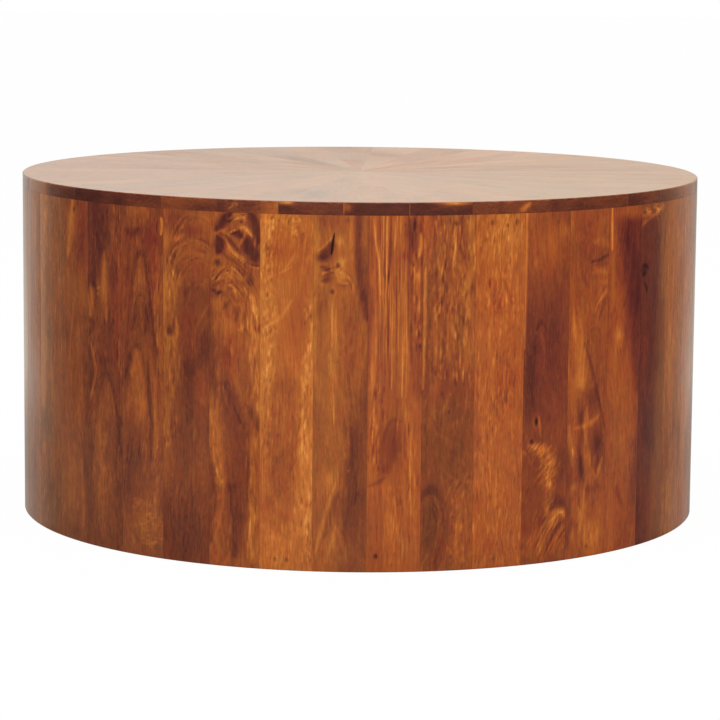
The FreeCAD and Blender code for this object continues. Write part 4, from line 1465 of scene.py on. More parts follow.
        Stroke(((18, 112), (17, 98)), 2.2, -0.1),
        Streak(1, 113, 5, 6, 0.15), Streak(2, 92, 5, 10, 0.09), Streak(6, 76, 6, 5, -0.15),
        Streak(20, 76, 8, 6, -0.08),
        Stroke(((-3, 74), (-4, 55), (-10, 30)), 4, 0.12, 0.2),
        Streak(9, 23, 17, 20, 0.24, 0.2), Streak(-21, 26, 3.5, 10, 0.16, 0.2),
        Stroke(((-12, 58), (-10, 50), (-13, 40)), 2.4, 0.16, 0.2),
        Streak(-10, 225, 8, 34, 0.06, 0.2), Streak(22, 60, 6, 20, 0.06),
        Side(((-22, 115), (-22, 60), (-14, 34), (-25, 20)), Hand.LEFT, -0.15, 4),
        Strands(((-6, 150), (0, 110), (-2, 60), (4, 10)), 16, 0.08, 60, 0.14, 1),
    ),
    6: Figure(
        0.49, warm=-0.3, pith=-30, depth=14, taper=0.05, ring=10, bands=0.03, lines=0.03, fleck=0.06,
        blotch=0.08,
    ).marked(
        Stroke(((-25, 386), (-25, 365), (-24, 340)), 1.6, 0.4, 0.2, 0.6),
        Streak(0, 380, 24, 8, 0.05),
        Side(
            ((-10, 366), (-7, 335), (-3, 300), (3, 262), (12, 225), (24, 185)),
            Hand.RIGHT, -0.23, 13, -0.2, 14,
        ),
        Streak(2, 350, 9, 16, -0.1, -0.2), Streak(24, 290, 12, 46, -0.1, -0.2),
        Streak(-22, 320, 4, 40, 0.13, 0.2), Streak(-10, 244, 7, 12, 0.19, 0.2),
        Strands(((-16, 270), (-12, 245), (-8, 220)), 8, 0.09, 24, 0.2, 0.9, 0.3),
        Streak(-17, 215, 8, 30, 0.1, 0.2), Streak(27, 100, 6, 70, -0.18), Streak(20, 60, 6, 30, -0.08),
        Stroke(((-10, 74), (-5, 62), (2, 52)), 4, -0.13),
        Streak(-20, 40, 6, 40, 0.1, 0.2), Streak(0, 150, 20, 40, 0.06, 0.2),
        Streak(-6, 100, 14, 30, 0.05, 0.1),
    ),
    7: Figure(
        0.34, warm=0, pith=-5, depth=12, taper=0.08, ring=10, bands=0.03, lines=0.03, fleck=0.05,
        blotch=0.06,
    ).marked(
        Side(
            ((11, 371), (13, 340), (10, 300), (9, 250), (6, 180), (2, 100), (-2, 0)),
            Hand.LEFT, -0.12, 9, -0.3, 2,
        ),
        Streak(-16, 379, 13, 8, 0.24, 0.1), Streak(-24, 367, 6, 5, 0.2, 0.1),
        Streak(5, 378, 7, 8, 0.22, 0.1), Streak(22, 382, 8, 5, 0.12, 0.2),
        Stroke(((-29, 362), (-20, 367), (-8, 371), (2, 372), (8, 364), (10, 350)), 2, 0.16, 0.2),
        Streak(-8, 382, 2.2, 2.2, -0.2), Streak(-21, 376, 2.6, 1.8, -0.16), Streak(-1, 376, 2, 2.6, -0.14),
        Strands(((-26, 376), (-10, 380), (8, 377), (22, 383)), 6, 0.16, 44, 0.2, 1),
        Side(((13, 372), (15, 345), (13, 318), (20, 280)), Hand.RIGHT, 0.1, 4, 0.3, 10),
        Streak(24, 180, 10, 140, 0, 0.35),
        Stroke(((4, 342), (12, 341)), 1, 0.1),
        Streak(-22, 200, 8, 60, 0.05, -0.2), Streak(-6, 55, 18, 45, 0.04),
        Streak(-8, 130, 14, 30, -0.03), Streak(-23, 313, 6, 5, -0.16),
        Stroke(((-27, 318), (-18, 317), (-13, 313)), 2, -0.22),
        Stroke(((-26, 307), (-18, 309)), 2.2, -0.18),
        Stroke(((-22, 299), (-16, 291), (-17, 287)), 2, -0.18),
    ),
    8: Figure(0.5, warm=0.2, pith=70, taper=0.02, bands=0.04, lines=0.05, fleck=0.09, blotch=0.09).marked(
        Streak(-14, 270, 14, 90, 0.06, -0.1), Streak(6, 110, 8, 44, -0.09),
        Streak(-20, 70, 14, 60, -0.07), Streak(24, 105, 5, 24, -0.16, 0.2),
        Stroke(((-2, 165), (4, 140), (3, 110)), 3, -0.08),
        Strands(((-10, 390), (-8, 250), (-14, 120), (-10, 0)), 14, 0.08, 80, 0.08, 0.9, 0.45),
        Strands(((14, 380), (10, 200), (14, 20)), 12, 0.07, 60, 0.1, 0.9, 0.5),
    ),
    9: Figure(0.54, warm=0.05, pith=2, depth=9, taper=0.1, lines=0.05, fleck=0.09).marked(
        Streak(-10, 200, 10, 120, 0.05), Streak(12, 80, 10, 60, -0.06),
        Arch(2, 268, 17, 60, 3, -0.09, 0.03, 150), Arch(2, 214, 11, 40, 3, -0.08, 0.02, 110),
        Strands(((-18, 380), (-16, 250), (-18, 60)), 8, 0.09, 60, 0.08, 0.9, 0.4),
        Strands(((20, 390), (18, 240), (22, 20)), 7, 0.09, 50, 0.09, 0.9, 0.4),
        Knot(8, 322, 2.6, 0.4, 0.8, 1.4),
    ),
    10: Figure(0.39, warm=0.2, pith=50, bands=0.04, lines=0.05, fleck=0.08).marked(
        Streak(-20, 250, 8, 90, 0.07), Streak(10, 330, 12, 30, -0.08, -0.2),
        Strands(((8, 390), (4, 240), (10, 60)), 16, 0.08, 90, 0.08, 0.9, 0.5),
        Stroke(((24, 300), (14, 230), (18, 120)), 3, 0.09),
        Streak(0, 60, 14, 40, 0.07),
    ),
    34: Figure(0.37, warm=0.3, pith=-4, depth=9, taper=0.1, bands=0.04, lines=0.05, fleck=0.07).marked(
        Streak(10, 150, 8, 90, 0.07),
        Arch(-4, 250, 15, 50, 3, -0.08, 0.03, 140),
        Strands(((-16, 390), (-18, 200), (-14, 20)), 9, 0.08, 60, 0.09, 0.9, 0.45),
    ),
    35: Figure(0.42, warm=0.4, pith=-60, bands=0.04, lines=0.05, fleck=0.08).marked(
        Streak(12, 260, 10, 100, 0.08), Streak(0, 70, 20, 60, -0.06),
        Stroke(((-14, 380), (-8, 300), (-12, 210)), 3, -0.1),
        Strands(((-12, 390), (-10, 220), (-14, 30)), 14, 0.08, 80, 0.08, 0.9, 0.45),
        Strands(((18, 390), (16, 200), (20, 10)), 10, 0.07, 60, 0.09, 0.9, 0.4),
    ),
}


# Filled brad holes of the staves whose holes can be made out.
SEEN_FILLINGS: dict[int, tuple[Filling, ...]] = {
    37: (Filling(3, 375, 2.6, -0.2), Filling(6, 12, 1.6, -0.1)),
    42: (
        Filling(3, 380, 1.9, -0.14), Filling(-9, 379, 1.4, -0.14), Filling(-11, 12, 2, -0.28),
        Filling(2, 12, 2, -0.26),
    ),
    43: (Filling(7, 381, 2.4, -0.14), Filling(-4, 378, 1.4, -0.05), Filling(0, 12, 1.4, -0.05)),
    1: (Filling(-19, 18, 2.3, -0.36), Filling(10, 376, 1.4, -0.1)),
    2: (Filling(7, 377, 2.1, -0.26), Filling(-6, 376, 1.4, -0.06), Filling(0, 10, 1.5, -0.06)),
    3: (
        Filling(-11, 377, 2.4, -0.24), Filling(7, 374, 1.9, -0.26), Filling(19, 377, 2.5, -0.2),
        Filling(-4, 10, 1.9, -0.12),
    ),
    4: (Filling(-2, 379, 1.5, -0.05), Filling(12, 375, 2, -0.1), Filling(2, 12, 1.4, -0.05)),
    5: (Filling(10, 376, 1.6, -0.08), Filling(-3, 375, 1.4, -0.05), Filling(2, 12, 2.1, -0.18)),
}


@dataclass
class StaveWall:
    """The coopered wall: upright boards with bevelled edges, sanded round together."""

    sizes: DrumSizes
    finish: bpy.types.Material
    fine: float = 1.1
    coarse: float = 2.4
    row: float = 1.9
    seam: float = 0.15
    seam_width: float = 0.5
    brad_head: float = 377.0
    brad_foot: float = 12.0
    brad_spacing: float = 12.0
    stray_across: float = 1.0
    stray_along: float = 0.8
    filling: Range = (1.2, 1.8)
    seam_shade: float = 0.25
    coarse_rows: float = 1.6
    edge_clear: float = 0.2
    end_clear: float = 2.0
    least_step: float = 0.18
    unseen_tones: tuple[float, ...] = (0.34, 0.42, 0.46, 0.52, 0.6, 0.68)
    flat_sawn: float = 32.0
    arch_count: int = 3
    arch_gap: float = 48.0
    knot_chance: float = 0.35
    burl_chance: float = 0.3
    flame_chance: float = 0.4

    def build(self) -> None:
        """Build every stave."""
        for number in range(1, self.sizes.stave_count + 1):
            node = f"stave_{number:02d}"
            figure = self._filled(STAVE_FIGURES.get(number) or self._unseen(number), number)
            stand_in(self._stave(f"{node}_board", number, figure), node, self.finish)

    def _filled(self, figure: Figure, number: int) -> Figure:
        """Add the filled brad holes to a stave's figure.

        Args:
            figure: the stave's grain and marks.
            number: place in the wall, counted from 1.

        Returns:
            The figure with the holes.
        """
        draw = np.random.default_rng(Seed.FILLINGS + number)
        gap = self.brad_spacing / 2
        plain = [
            Filling(u, self.brad_head + draw.normal(0, self.stray_along), draw.uniform(*self.filling))
            for u in (-gap, gap)
        ]
        plain.append(Filling(draw.normal(0, self.stray_across), self.brad_foot, draw.uniform(*self.filling)))
        return figure.marked(*figure.marks, *SEEN_FILLINGS.get(number, plain))

    def _unseen(self, number: int) -> Figure:
        """A stave that the front view does not show, cut from the same sort of timber.

        Args:
            number: place in the wall, counted from 1.

        Returns:
            Its grain and marks.
        """
        draw = np.random.default_rng(Seed.UNSEEN + number)
        tone = float(draw.choice(self.unseen_tones)) + draw.uniform(-0.03, 0.03)
        marks: list[Mark] = []
        for _ in range(int(draw.integers(6, 11))):
            u, z = draw.uniform(-28, 28), draw.uniform(0, 385)
            half_w, half_h = draw.uniform(3, 12), draw.uniform(20, 90)
            lean, warm = draw.uniform(-0.12, 0.12), draw.uniform(-0.25, 0.25)
            marks.append(Streak(u, z, half_w, half_h, draw.uniform(-0.2, 0.2), warm, lean))
        pith = draw.uniform(-70, 70)
        if abs(pith) < self.flat_sawn:
            peak = draw.uniform(180, 340)
            for step in range(self.arch_count):
                apex = peak - self.arch_gap * step + draw.uniform(-8, 8)
                half_w, drop = draw.uniform(14, 20), draw.uniform(55, 95)
                marks.append(Arch(pith * 0.3, apex, half_w, drop, line=3.4, tone=-0.12, fill=0.03))
        if draw.random() < self.knot_chance:
            u, z = draw.uniform(-18, 18), draw.uniform(60, 340)
            marks.append(Knot(u, z, draw.uniform(2.0, 4.5), dark=0.4, push=1.2))
        if draw.random() < self.burl_chance:
            u, z = draw.uniform(-12, 12), draw.choice([40.0, 345.0])
            marks.append(Burl(u, z, half_w=24, half_h=40, swirl=0.16, tone=-0.05, size=24))
        if draw.random() < self.flame_chance:
            low = draw.uniform(30, 250)
            path = ((draw.uniform(-14, 14), low), (draw.uniform(-14, 14), low + draw.uniform(50, 110)))
            marks.append(Flame(path, half_w=8, tone=0.12, count=30))
        return Figure(
            tone,
            tuple(marks),
            warm=draw.uniform(-0.25, 0.25),
            pith=pith,
            depth=draw.uniform(6, 22),
            taper=draw.uniform(0.02, 0.13),
            ring=draw.uniform(5, 9),
            bands=draw.uniform(0.04, 0.1),
            lines=draw.uniform(0.05, 0.16),
            fleck=draw.uniform(0.08, 0.22),
            blotch=0.09,
        )

    def _lines(self, number: int, figure: Figure) -> tuple[Field, Field]:
        """Lay out the lattice of a stave's face, with extra lines at its seams, fillings and cracks.

        Args:
            number: place in the wall, counted from 1.
            figure: its grain and marks.

        Returns:
            The places of its columns and of its rows.
        """
        half = math.pi * self.sizes.radius / self.sizes.stave_count
        length = self.sizes.height - self.sizes.top
        seen = number in STAVE_FIGURES
        steps = int(2 * half / (self.fine if seen else self.coarse))
        edge = half - self.seam_width
        columns = [*np.linspace(-edge, edge, steps), -half, half]
        row = self.row if seen else self.coarse_rows * self.row
        rows = [0.0, *np.linspace(self.sizes.foot_ease, length, int(length / row))]
        for mark in figure.marks:
            if isinstance(mark, (Crack, Filling)):
                columns += [u for u in mark.lines_across() if abs(u) < edge - self.edge_clear]
                rows += [z for z in mark.lines_along() if self.end_clear < z < length - self.end_clear]
        return self._spread(columns), self._spread(rows)

    def _spread(self, lines: Sequence[float]) -> Field:
        """Sort lines and drop near doubles.

        Args:
            lines: places in any order.

        Returns:
            The places that stay, with both ends among them.
        """
        kept = [min(lines)]
        for line in sorted(lines):
            if line - kept[-1] > self.least_step:
                kept.append(line)
        kept[-1] = max(lines)
        return np.array(kept)

    def _stave(self, name: str, number: int, figure: Figure) -> bpy.types.Object:
        """Build one stave.

        Args:
            name: name of the object.
            number: place in the wall, counted from 1.
            figure: its grain and marks.

        Returns:
            The stave in its place.
        """
        sizes = self.sizes
        columns, rows = self._lines(number, figure)
        across, along = np.meshgrid(columns, rows)
        board = Board(across, along, number)
        figure.draw(board)
        half = columns[-1]
        length = rows[-1]
        seam = ramp((np.abs(across) - half + self.seam_width) / self.seam_width)
        board.traits[Trait.DARK] = np.maximum(board.traits[Trait.DARK], self.seam_shade * seam)
        foot = np.maximum(sizes.foot_ease - along, 0.0)
        radius = sizes.radius - board.sink - self.seam * seam - foot
        middle = math.radians(sizes.stave_angle(number))
        mesh = BoardMesh()
        face = mesh.lattice(on_drum(radius, middle + across / sizes.radius, along), board)
        bevel = half / sizes.radius
        back = (sizes.radius - sizes.stave_thickness) / math.cos(bevel)
        corners = {}
        for side, column in ((-1, 0), (1, -1)):
            for level, line in ((0.0, 0), (length, -1)):
                place = on_drum(np.array(back), np.array(middle + side * bevel), np.array(level))
                corners[side, line] = mesh.corner(place, int(face[line, column]))
        mesh.close(*face[:, 0], corners[-1, -1], corners[-1, 0])
        mesh.close(*face[::-1, -1], corners[1, 0], corners[1, -1])
        mesh.close(*face[0], corners[1, 0], corners[-1, 0])
        mesh.close(*face[-1, ::-1], corners[-1, -1], corners[1, -1])
        mesh.close(corners[-1, 0], corners[-1, -1], corners[1, -1], corners[1, 0])
        return mesh.make(name)


@dataclass(frozen=True)
class WedgeLook:
    """Tones of one wedge board on its face and on its end grain, and what is on each.

    The marks are on the end grain and the stains on the face. The film is how much more lacquer than usual
    the end grain has kept.
    """

    face: float
    rim: float
    marks: tuple[Mark, ...] = ()
    stains: tuple[Mark, ...] = ()
    film: float = 0.0


# Wedge boards that the front view tells apart, by their number in the top.
WEDGE_LOOKS: dict[int, WedgeLook] = {
    30: WedgeLook(0.50, 0.36, film=0.16),
    31: WedgeLook(0.50, 0.14, (Streak(-32, 6, 7, 14, 0.14),), film=-0.06),
    32: WedgeLook(0.42, 0.06, (Streak(30, 6, 14, 14, 0.06),)),
    33: WedgeLook(0.50, 0.17, (Streak(-28, 6, 12, 14, -0.08), Streak(14, 3, 24, 5, 0.05))),
    34: WedgeLook(0.48, 0.27, (Streak(-16, 9, 12, 8, 0.05), Streak(14, 2, 20, 5, -0.10))),
    35: WedgeLook(
        0.53,
        0.25,
        (
            Streak(-30, 6, 7, 14, -0.12),
            Stroke(((-22, 4), (-17, 6), (-15, 9.5), (-11, 9), (-13, 6)), 1.2, 0.26, 0.2),
            Streak(2, 6, 10, 14, -0.05),
            Streak(29, 6, 16, 14, 0.22),
            Streak(34, 9, 4, 9, 0.10),
        ),
        (Streak(18, 280, 12, 40, -0.15, film=-0.08), Streak(-4, 320, 20, 45, -0.12, film=-0.06)),
    ),
    36: WedgeLook(
        0.47,
        0.18,
        # The second mark is a painted highlight: a bright thin streak along the rim's top edge, as a glint
        # of light on the arris.
        (Streak(-28, 5, 10, 8, -0.08), Streak(-27, 13, 9, 2.2, 0.75, 0.5), Streak(12, 6, 22, 9, 0.04)),
        (Streak(-10, 295, 18, 45, -0.25, film=-0.14),),
    ),
    1: WedgeLook(
        0.52,
        0.12,
        (Streak(-31, 9, 5, 6, 0.34), Streak(-34.4, 6, 0.8, 14, 0.35), Streak(24, 7, 14, 8, 0.05)),
    ),
    2: WedgeLook(
        0.50,
        0.11,
        (
            Streak(-34.2, 6, 0.7, 14, 0.30),
            Streak(14, 10, 22, 6, 0.10),
            # Painted highlight: a bright thin streak along the rim's top edge, as a glint of light on the
            # arris.
            Streak(15, 13, 17, 2.0, 0.70, 0.5),
        ),
    ),
    3: WedgeLook(
        0.54,
        0.25,
        (
            Streak(28, 7, 5, 6, 0.46, lean=0.9),
            Streak(4, 8, 14, 9, 0.04),
            Streak(-2, 6, 4, 12, -0.10),
            Streak(14, 4, 8, 5, 0.06),
        ),
    ),
    4: WedgeLook(
        0.50,
        0.22,
        (Streak(-26, 8, 12, 8, 0.06), Streak(-4, 7, 8, 10, -0.08), Streak(30, 6, 8, 12, -0.06)),
    ),
    5: WedgeLook(0.48, 0.20, (Streak(0, 6, 20, 10, 0.03),)),
    6: WedgeLook(
        0.47,
        0.16,
        (Streak(-28, 5, 10, 12, -0.06), Streak(12, 7, 16, 10, 0.10), Streak(-34.2, 6, 0.7, 14, 0.25)),
    ),
    7: WedgeLook(0.50, 0.22, (Streak(26, 7, 16, 20, 0.16),), film=0.06),
    8: WedgeLook(0.50, 0.38, film=0.16),
    17: WedgeLook(0.52, 0.30, (), (Streak(0, 110, 12, 45, 0.2),)),
    18: WedgeLook(0.52, 0.30),
    19: WedgeLook(0.49, 0.26, (), (Streak(0, 200, 40, 220, -0.03, film=-0.10),)),
    20: WedgeLook(0.50, 0.20),
    21: WedgeLook(0.42, 0.24, (), (Streak(0, 150, 10, 80, -0.06, film=-0.06),)),
    26: WedgeLook(0.52, 0.24, (), (Streak(3, 260, 2.5, 120, -0.25),)),
    27: WedgeLook(0.42, 0.22),
}


@dataclass
class SunburstTop:
    """The top: wedge boards whose points meet in the middle and whose end grain is the rim."""

    sizes: DrumSizes
    finish: bpy.types.Material
    seam: float = 0.12
    seam_width: float = 0.45
    seam_shade: float = 0.1
    seam_dip: float = 0.25
    seen_steps: int = 61
    unseen_steps: int = 19
    tip_radii: tuple[float, ...] = (3.0, 7.0, 13.0, 20.0)
    face_from: float = 28.0
    face_rows: int = 56
    face_streaks: int = 4
    face_tones: Range = (0.43, 0.57)
    rim_tones: Range = (0.14, 0.36)
    front_film: float = 0.15
    back_film: float = 0.08
    film_turn: float = 1.5
    rim_rows: int = 12
    lower_ease: float = 0.2
    lower_inset: float = 0.15
    end_ring: float = 2.2
    end_stretch: float = 9.0
    end_lift: float = 0.025
    # Painted highlight: the rim is made lighter towards its top edge, fading over a few millimetres, as
    # light catching the arris.
    painted_top_highlight: float = 0.05
    painted_top_highlight_depth: float = 4.0
    wear: float = 0.08
    wear_depth: float = 0.1

    def build(self) -> None:
        """Build every glue-up of wedge boards."""
        per_sector = self.sizes.wedges_per_sector
        for sector in range(self.sizes.sector_count):
            node = f"top_sector_{sector + 1}"
            mesh = BoardMesh()
            for place in range(per_sector):
                self._wedge(mesh, sector * per_sector + place + 1)
            stand_in(mesh.make(f"{node}_boards"), node, self.finish)

    @property
    def half_turn(self) -> float:
        """Half the angle of a wedge board, in radians."""
        return math.pi / (self.sizes.sector_count * self.sizes.wedges_per_sector)

    @property
    def seam_from(self) -> float:
        """Where a seam begins, as a share of the half turn."""
        return 1 - self.seam_width / (self.sizes.radius * self.half_turn)

    def _look(self, number: int) -> WedgeLook:
        """Find the tones of a wedge board.

        Args:
            number: place in the top, counted from 1 at the front.

        Returns:
            The tones that are given for it, or else drawn ones.
        """
        draw = np.random.default_rng(Seed.WEDGE_TONES + number)
        face, rim = draw.uniform(*self.face_tones), draw.uniform(*self.rim_tones)
        return WEDGE_LOOKS.get(number) or WedgeLook(face, rim)

    def _wedge(self, mesh: BoardMesh, number: int) -> None:
        """Add one wedge board to a glue-up.

        Args:
            mesh: the glue-up.
            number: place in the top, counted from 1 at the front.
        """
        steps = self.seen_steps if number in WEDGE_LOOKS else self.unseen_steps
        between = np.linspace(-self.seam_from, self.seam_from, steps)
        turns = np.concatenate([[-1], between, [1]]) * self.half_turn
        drawn = np.random.default_rng(Seed.WEDGE + number)
        upper = self._face(mesh, number, turns, drawn)
        lower = self._rim(mesh, number, turns, drawn)
        for column in range(len(turns) - 1):
            mesh.close(upper[-1, column], upper[-1, column + 1], lower[0, column + 1], lower[0, column])
        inner = int(upper[0, len(turns) // 2])
        tip = mesh.corner((0.0, 0.0, self.sizes.height), inner)
        foot = mesh.corner((0.0, 0.0, self.sizes.height - self.sizes.top), inner)
        for column in range(len(turns) - 1):
            mesh.close(tip, upper[0, column + 1], upper[0, column])
        mesh.close(tip, *upper[:, 0], *lower[:, 0], foot)
        mesh.close(foot, *lower[::-1, -1], *upper[::-1, -1], tip)
        mesh.close(foot, *lower[-1])

    def _seam_edge(self, turn: Field) -> Field:
        """A weight of 1 on the seams of a wedge board that falls to 0 beside them."""
        return ramp((np.abs(turn) / self.half_turn - self.seam_from) / (1 - self.seam_from))

    def _face(self, mesh: BoardMesh, number: int, turns: Field, drawn: np.random.Generator) -> Field:
        """Add the upper face of a wedge board.

        Args:
            mesh: the glue-up.
            number: place in the top, counted from 1 at the front.
            turns: angles of its columns from its middle, in radians.
            drawn: the board's random draws.

        Returns:
            The numbers of the face's points, rows by columns.
        """
        sizes = self.sizes
        look = self._look(number)
        outer = np.linspace(self.face_from, sizes.radius - sizes.rim_ease, self.face_rows)
        turn, radius = np.meshgrid(turns, np.concatenate([self.tip_radii, outer]))
        face = Board(radius * turn, radius, Seed.WEDGE_FACE + number)
        streaks = [
            Streak(drawn.uniform(-18, 18), drawn.uniform(90, 390), 7, 50, drawn.uniform(-0.08, 0.08))
            for _ in range(self.face_streaks)
        ]
        Figure(
            look.face,
            (*streaks, *look.stains),
            warm=drawn.uniform(-0.2, 0.2),
            pith=drawn.uniform(-60, 60),
            depth=14,
            taper=drawn.uniform(0.02, 0.1),
            ring=8,
            bands=0.03,
            lines=0.03,
            fleck=0.06,
            blotch=0.14,
        ).draw(face)
        edge = self._seam_edge(turn)
        face.traits[Trait.DARK] = self.seam_shade * edge
        middle = math.radians(sizes.wedge_angle(number))
        facing = np.clip(self.film_turn * math.cos(middle), -1.0, 1.0)
        film = facing * (self.front_film if facing > 0 else self.back_film)
        face.add(Trait.FILM, film)
        height = sizes.height - self.seam_dip * self.seam * edge
        return mesh.lattice(on_drum(radius, middle + turn, height), face)

    def _rim(self, mesh: BoardMesh, number: int, turns: Field, drawn: np.random.Generator) -> Field:
        """Add the rim of a wedge board.

        Args:
            mesh: the glue-up.
            number: place in the top, counted from 1 at the front.
            turns: angles of its columns from its middle, in radians.
            drawn: the board's random draws.

        Returns:
            The numbers of the rim's points, rows by columns.
        """
        sizes = self.sizes
        low = sizes.height - sizes.top
        drops = np.linspace(sizes.height - sizes.rim_ease, low + self.lower_ease, self.rim_rows)
        turn, level = np.meshgrid(turns, np.append(drops, low))
        rim = Board(turn * sizes.radius, level - low, Seed.WEDGE_RIM + number)
        self._end_grain(rim, self._look(number), drawn)
        edge = self._seam_edge(turn)
        rim.traits[Trait.DARK] = self.seam_shade * edge
        radius = sizes.radius - np.where(level <= low, self.lower_inset, 0.0) - self.seam * edge
        return mesh.lattice(on_drum(radius, math.radians(sizes.wedge_angle(number)) + turn, level), rim)

    def _end_grain(self, rim: Board, look: WedgeLook, drawn: np.random.Generator) -> None:
        """Draw the end grain of a wedge board: growth rings as arcs across its thickness.

        Args:
            rim: the board's end.
            look: its tones and marks.
            drawn: the board's random draws.
        """
        centre, depth = drawn.uniform(-50, 50), drawn.uniform(-40, -12)
        rings = np.hypot(rim.across - centre, rim.along - depth)
        rim.traits[Trait.GRAIN] = rings / self.end_ring
        rim.flow_along = rim.along * self.end_stretch
        rim.add(Trait.TONE, look.rim + self.end_lift)
        rim.add(Trait.FILM, look.film)
        rim.add(Trait.WARM, 0.1)
        rim.add(Trait.BANDS, 0.03)
        rim.add(Trait.LINES, 0.03)
        rim.add(Trait.FLECK, 0.04)
        rim.add(Trait.BLOTCH, 0.09)
        down = rim.along.max() - rim.along
        # Painted highlight: lighter towards the rim's top edge, as light catching the arris. The top row
        # takes it off again, and its tone wanders along the edge as wear.
        rim.add(Trait.TONE, self.painted_top_highlight * np.exp(-((down / self.painted_top_highlight_depth) ** 2)))
        worn = Waves(rim.seed, across=9.0, along=60.0).at(rim.across, np.zeros_like(rim.along))
        rim.add(Trait.TONE, np.where(down < self.wear_depth, self.wear * worn - self.painted_top_highlight, 0.0))
        for mark in look.marks:
            mark.draw(rim)


@dataclass
class Carcass:
    """What the wall hides: sub-top, foot ring, posts and brads, as the CAD made them."""

    plywood: bpy.types.Material
    frame_wood: bpy.types.Material
    wire: bpy.types.Material
    post_count: int = 4

    def dress(self, nodes: dict[str, bpy.types.Object]) -> None:
        """Give each CAD node that stays its finish.

        Args:
            nodes: the CAD nodes by name.
        """
        finishes = {"subtop_disc": self.plywood, "foot_ring_felloes": self.frame_wood}
        finishes |= {f"post_{number}": self.frame_wood for number in range(1, self.post_count + 1)}
        finishes |= {f"{group}_brads": self.wire for group in ("upper", "lower", "top", "post")}
        for name, finish in finishes.items():
            node = nodes[name]
            node.data.materials.clear()
            node.data.materials.append(finish)
            LOG.info("%s: %s", name, finish.name)


@dataclass(frozen=True)
class Lamp:
    """A soft square lamp, in metres and watts."""

    name: str
    place: Axes
    size: float
    watts: float

    def hang(self, aim: Vector) -> None:
        """Hang the lamp.

        Args:
            aim: the place that it faces.
        """
        data = bpy.data.lights.new(self.name, "AREA")
        data.shape = "SQUARE"
        data.size = self.size
        data.energy = self.watts
        lamp = bpy.data.objects.new(self.name, data)
        lamp.location = self.place
        lamp.rotation_euler = (aim - Vector(self.place)).to_track_quat("-Z", "Y").to_euler()
        bpy.context.scene.collection.objects.link(lamp)


@dataclass
class Floor:
    """A pale floor that keeps a soft shadow of the table, in metres.

    What the lacquer mirrors of it is lit behind the table's flanks. A slope there is the way back over the
    way out, from a place beside the table.
    """

    room: float
    walls: Color
    size: float = 40.0
    grey: float = 0.9
    shown: float = 0.98
    tint: Color = (1.0, 0.96, 0.70)
    lit: float = 0.66
    lit_slopes: Range = (0.26, 1.2)
    tint_slopes: Range = (0.7, 1.5)
    flank_out: float = 0.34
    flank_back: float = 0.21
    least_out: float = 0.05
    far: Range = (0.2, 1.8)
    far_gain: float = 0.6
    near_share: float = 0.4
    sides: Range = (0.8, 1.6)
    sides_dim: float = 0.75
    right: Range = (-0.4, 0.4)
    right_dim: float = 0.3

    def lay(self) -> None:
        """Lay the floor and give it its finish."""
        bpy.ops.mesh.primitive_plane_add(size=self.size)
        floor = bpy.context.object
        floor.name = "floor"
        floor.data.materials.append(self._material())

    def _material(self) -> bpy.types.Material:
        """Build the finish.

        Returns:
            Its material.
        """
        made, graph = blank_finish("pale_floor")
        path = graph.add("ShaderNodeLightPath").outputs
        glossy = path["Is Glossy Ray"]
        seen = graph.math("MAXIMUM", path["Is Camera Ray"], glossy)
        seen = graph.math("MAXIMUM", seen, path["Is Transmission Ray"])
        mirrored, cream = self._mirrored(graph)
        strength = graph.mix_numbers(glossy, 1.0, mirrored)
        matt = graph.add("ShaderNodeBsdfDiffuse", {"Color": (self.grey, self.grey, self.grey, 1.0)})
        light = {"Color": graph.mix(glossy, WHITE, cream), "Strength": strength}
        bright = graph.add("ShaderNodeEmission", light)
        shaders = {0: graph.product(seen, self.shown), 1: matt.outputs[0], 2: bright.outputs[0]}
        graph.show(graph.add("ShaderNodeMixShader", shaders))
        return made

    def _mirrored(self, graph: Graph) -> tuple[Socket, Socket]:
        """Light the floor as the lacquer mirrors it.

        Args:
            graph: the finish's nodes.

        Returns:
            The strength and the colour of its light.
        """
        across, depth, _ = graph.axes(graph.add("ShaderNodeNewGeometry").outputs["Position"])
        aside = graph.math("ABSOLUTE", across)
        dimmed = graph.between(aside, *self.sides)
        near = graph.math("MULTIPLY_ADD", dimmed, -self.sides_dim * self.room, self.room)
        out = graph.math("SUBTRACT", aside, self.flank_out)
        back = graph.math("ADD", depth, self.flank_back)
        slope = graph.math("DIVIDE", back, graph.math("MAXIMUM", out, self.least_out))
        away = graph.total(graph.product(out, out), graph.product(back, back))
        far = graph.math("MULTIPLY_ADD", graph.between(away, *self.far), self.far_gain, self.near_share)
        right = graph.math("MULTIPLY_ADD", graph.between(across, *self.right), -self.right_dim, 1.0)
        behind = graph.product(graph.between(slope, *self.lit_slopes), self.lit, graph.product(far, right))
        cream = graph.mix(graph.between(slope, *self.tint_slopes), (*self.tint, 1.0), (*self.walls, 1.0))
        return graph.total(near, behind), cream


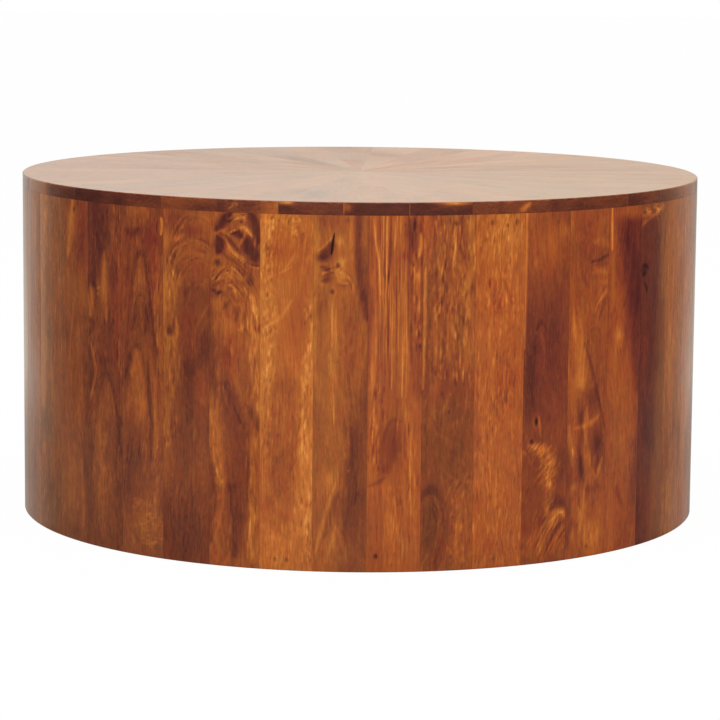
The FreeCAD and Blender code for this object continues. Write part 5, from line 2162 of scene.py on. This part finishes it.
@dataclass
class Studio:
    """Floor, light and camera. The camera is fitted to a square picture, in pixels, metres and degrees."""

    focal_px: float = 2951.8
    image_px: float = 720.0
    principal: tuple[float, float] = (358.73, 337.15)
    sensor: float = 36.0
    distance: float = 3.5479
    elevation: float = 7.906
    roll: float = 0.471
    aim: float = 0.2005
    ambient: float = 0.6
    room: float = 0.25
    walls: Color = (1.0, 0.945, 0.82)
    right_wall: Color = (1.0, 0.94, 0.77)
    right_wall_from: Range = (-0.12, 0.12)
    backdrop: Range = (0.45, 0.92)
    right: Range = (0.1, 0.6)
    right_dim: float = 0.3
    horizon: Range = (0.03, 0.1)
    horizon_dim: float = 0.25
    lamp_aim: float = 0.2
    lamps: tuple[Lamp, ...] = (
        Lamp("overhead", (0.0, -0.4, 3.6), 4.5, 90.0),
        Lamp("front_left", (-2.6, -3.4, 2.0), 2.6, 36.0),
        Lamp("front_right", (2.6, -3.4, 2.0), 2.6, 36.0),
    )

    def build(self) -> None:
        """Set up the whole studio."""
        self._camera()
        self._world()
        Floor(self.room, self.walls).lay()
        for lamp in self.lamps:
            lamp.hang(Vector((0, 0, self.lamp_aim)))
        bpy.context.scene.view_settings.view_transform = "Standard"

    def _camera(self) -> None:
        """Place the camera as the photograph's outline asks."""
        data = bpy.data.cameras.new("camera")
        data.sensor_width = self.sensor
        data.lens = self.focal_px / self.image_px * self.sensor
        data.shift_x = (self.image_px / 2 - self.principal[0]) / self.image_px
        data.shift_y = (self.principal[1] - self.image_px / 2) / self.image_px
        tilt = math.radians(self.elevation)
        eye = Vector((0, -self.distance * math.cos(tilt), self.aim + self.distance * math.sin(tilt)))
        ahead = (Vector((0, 0, self.aim)) - eye).normalized()
        right = ahead.cross(Vector((0, 0, 1))).normalized()
        above = right.cross(ahead)
        turn = Matrix.Rotation(math.radians(self.roll), 3, -ahead)
        right, above = turn @ right, turn @ above
        camera = bpy.data.objects.new("camera", data)
        rows = Matrix((right, above, -ahead)).transposed().to_4x4()
        camera.matrix_world = Matrix.Translation(eye) @ rows
        bpy.context.scene.collection.objects.link(camera)
        bpy.context.scene.camera = camera

    def _world(self) -> None:
        """White for the eye and behind the table, a dimmer room in front, softer light for the object."""
        world = bpy.data.worlds.new("surroundings")
        world.use_nodes = True
        graph = Graph(world.node_tree)
        path = graph.add("ShaderNodeLightPath").outputs
        glossy = path["Is Glossy Ray"]
        direct = graph.math("MAXIMUM", path["Is Camera Ray"], path["Is Transmission Ray"])
        across, depth, height = graph.axes(graph.add("ShaderNodeTexCoord").outputs["Generated"])
        backdrop = graph.between(depth, *self.backdrop)
        dimmed = graph.product(graph.between(across, *self.right), self.right_dim)
        window = graph.math("SUBTRACT", 1.0, dimmed)
        above = graph.between(height, *self.horizon)
        low = graph.math("MULTIPLY_ADD", above, self.horizon_dim, 1 - self.horizon_dim)
        mirrored = graph.total(graph.product(backdrop, window, low, 1 - self.room), self.room)
        strength = graph.math("MAXIMUM", graph.mix_numbers(glossy, self.ambient, mirrored), direct)
        sideways = graph.between(across, *self.right_wall_from)
        cream = graph.mix(sideways, (*self.walls, 1.0), (*self.right_wall, 1.0))
        light = {"Color": graph.mix(glossy, WHITE, cream), "Strength": strength}
        graph.show(graph.add("ShaderNodeBackground", light), "ShaderNodeOutputWorld")
        bpy.context.scene.world = world


def main() -> None:
    """Build the table's looks in order."""
    logging.basicConfig(level=logging.INFO, format="%(message)s")
    sizes = DrumSizes()
    lacquered = LacqueredWood().material()
    StaveWall(sizes, lacquered).build()
    SunburstTop(sizes, lacquered).build()
    plywood = BareWood("bare_plywood", (214, 184, 140), (176, 138, 94), (6.0, 60.0, 60.0))
    sawn = BareWood("sawn_hardwood", (192, 150, 104), (148, 104, 66), (40.0, 40.0, 4.0))
    Carcass(plywood.material(), sawn.material(), BradWire().material()).dress(frame["nodes"])
    Studio().build()


if __name__ == "__main__":
    main()
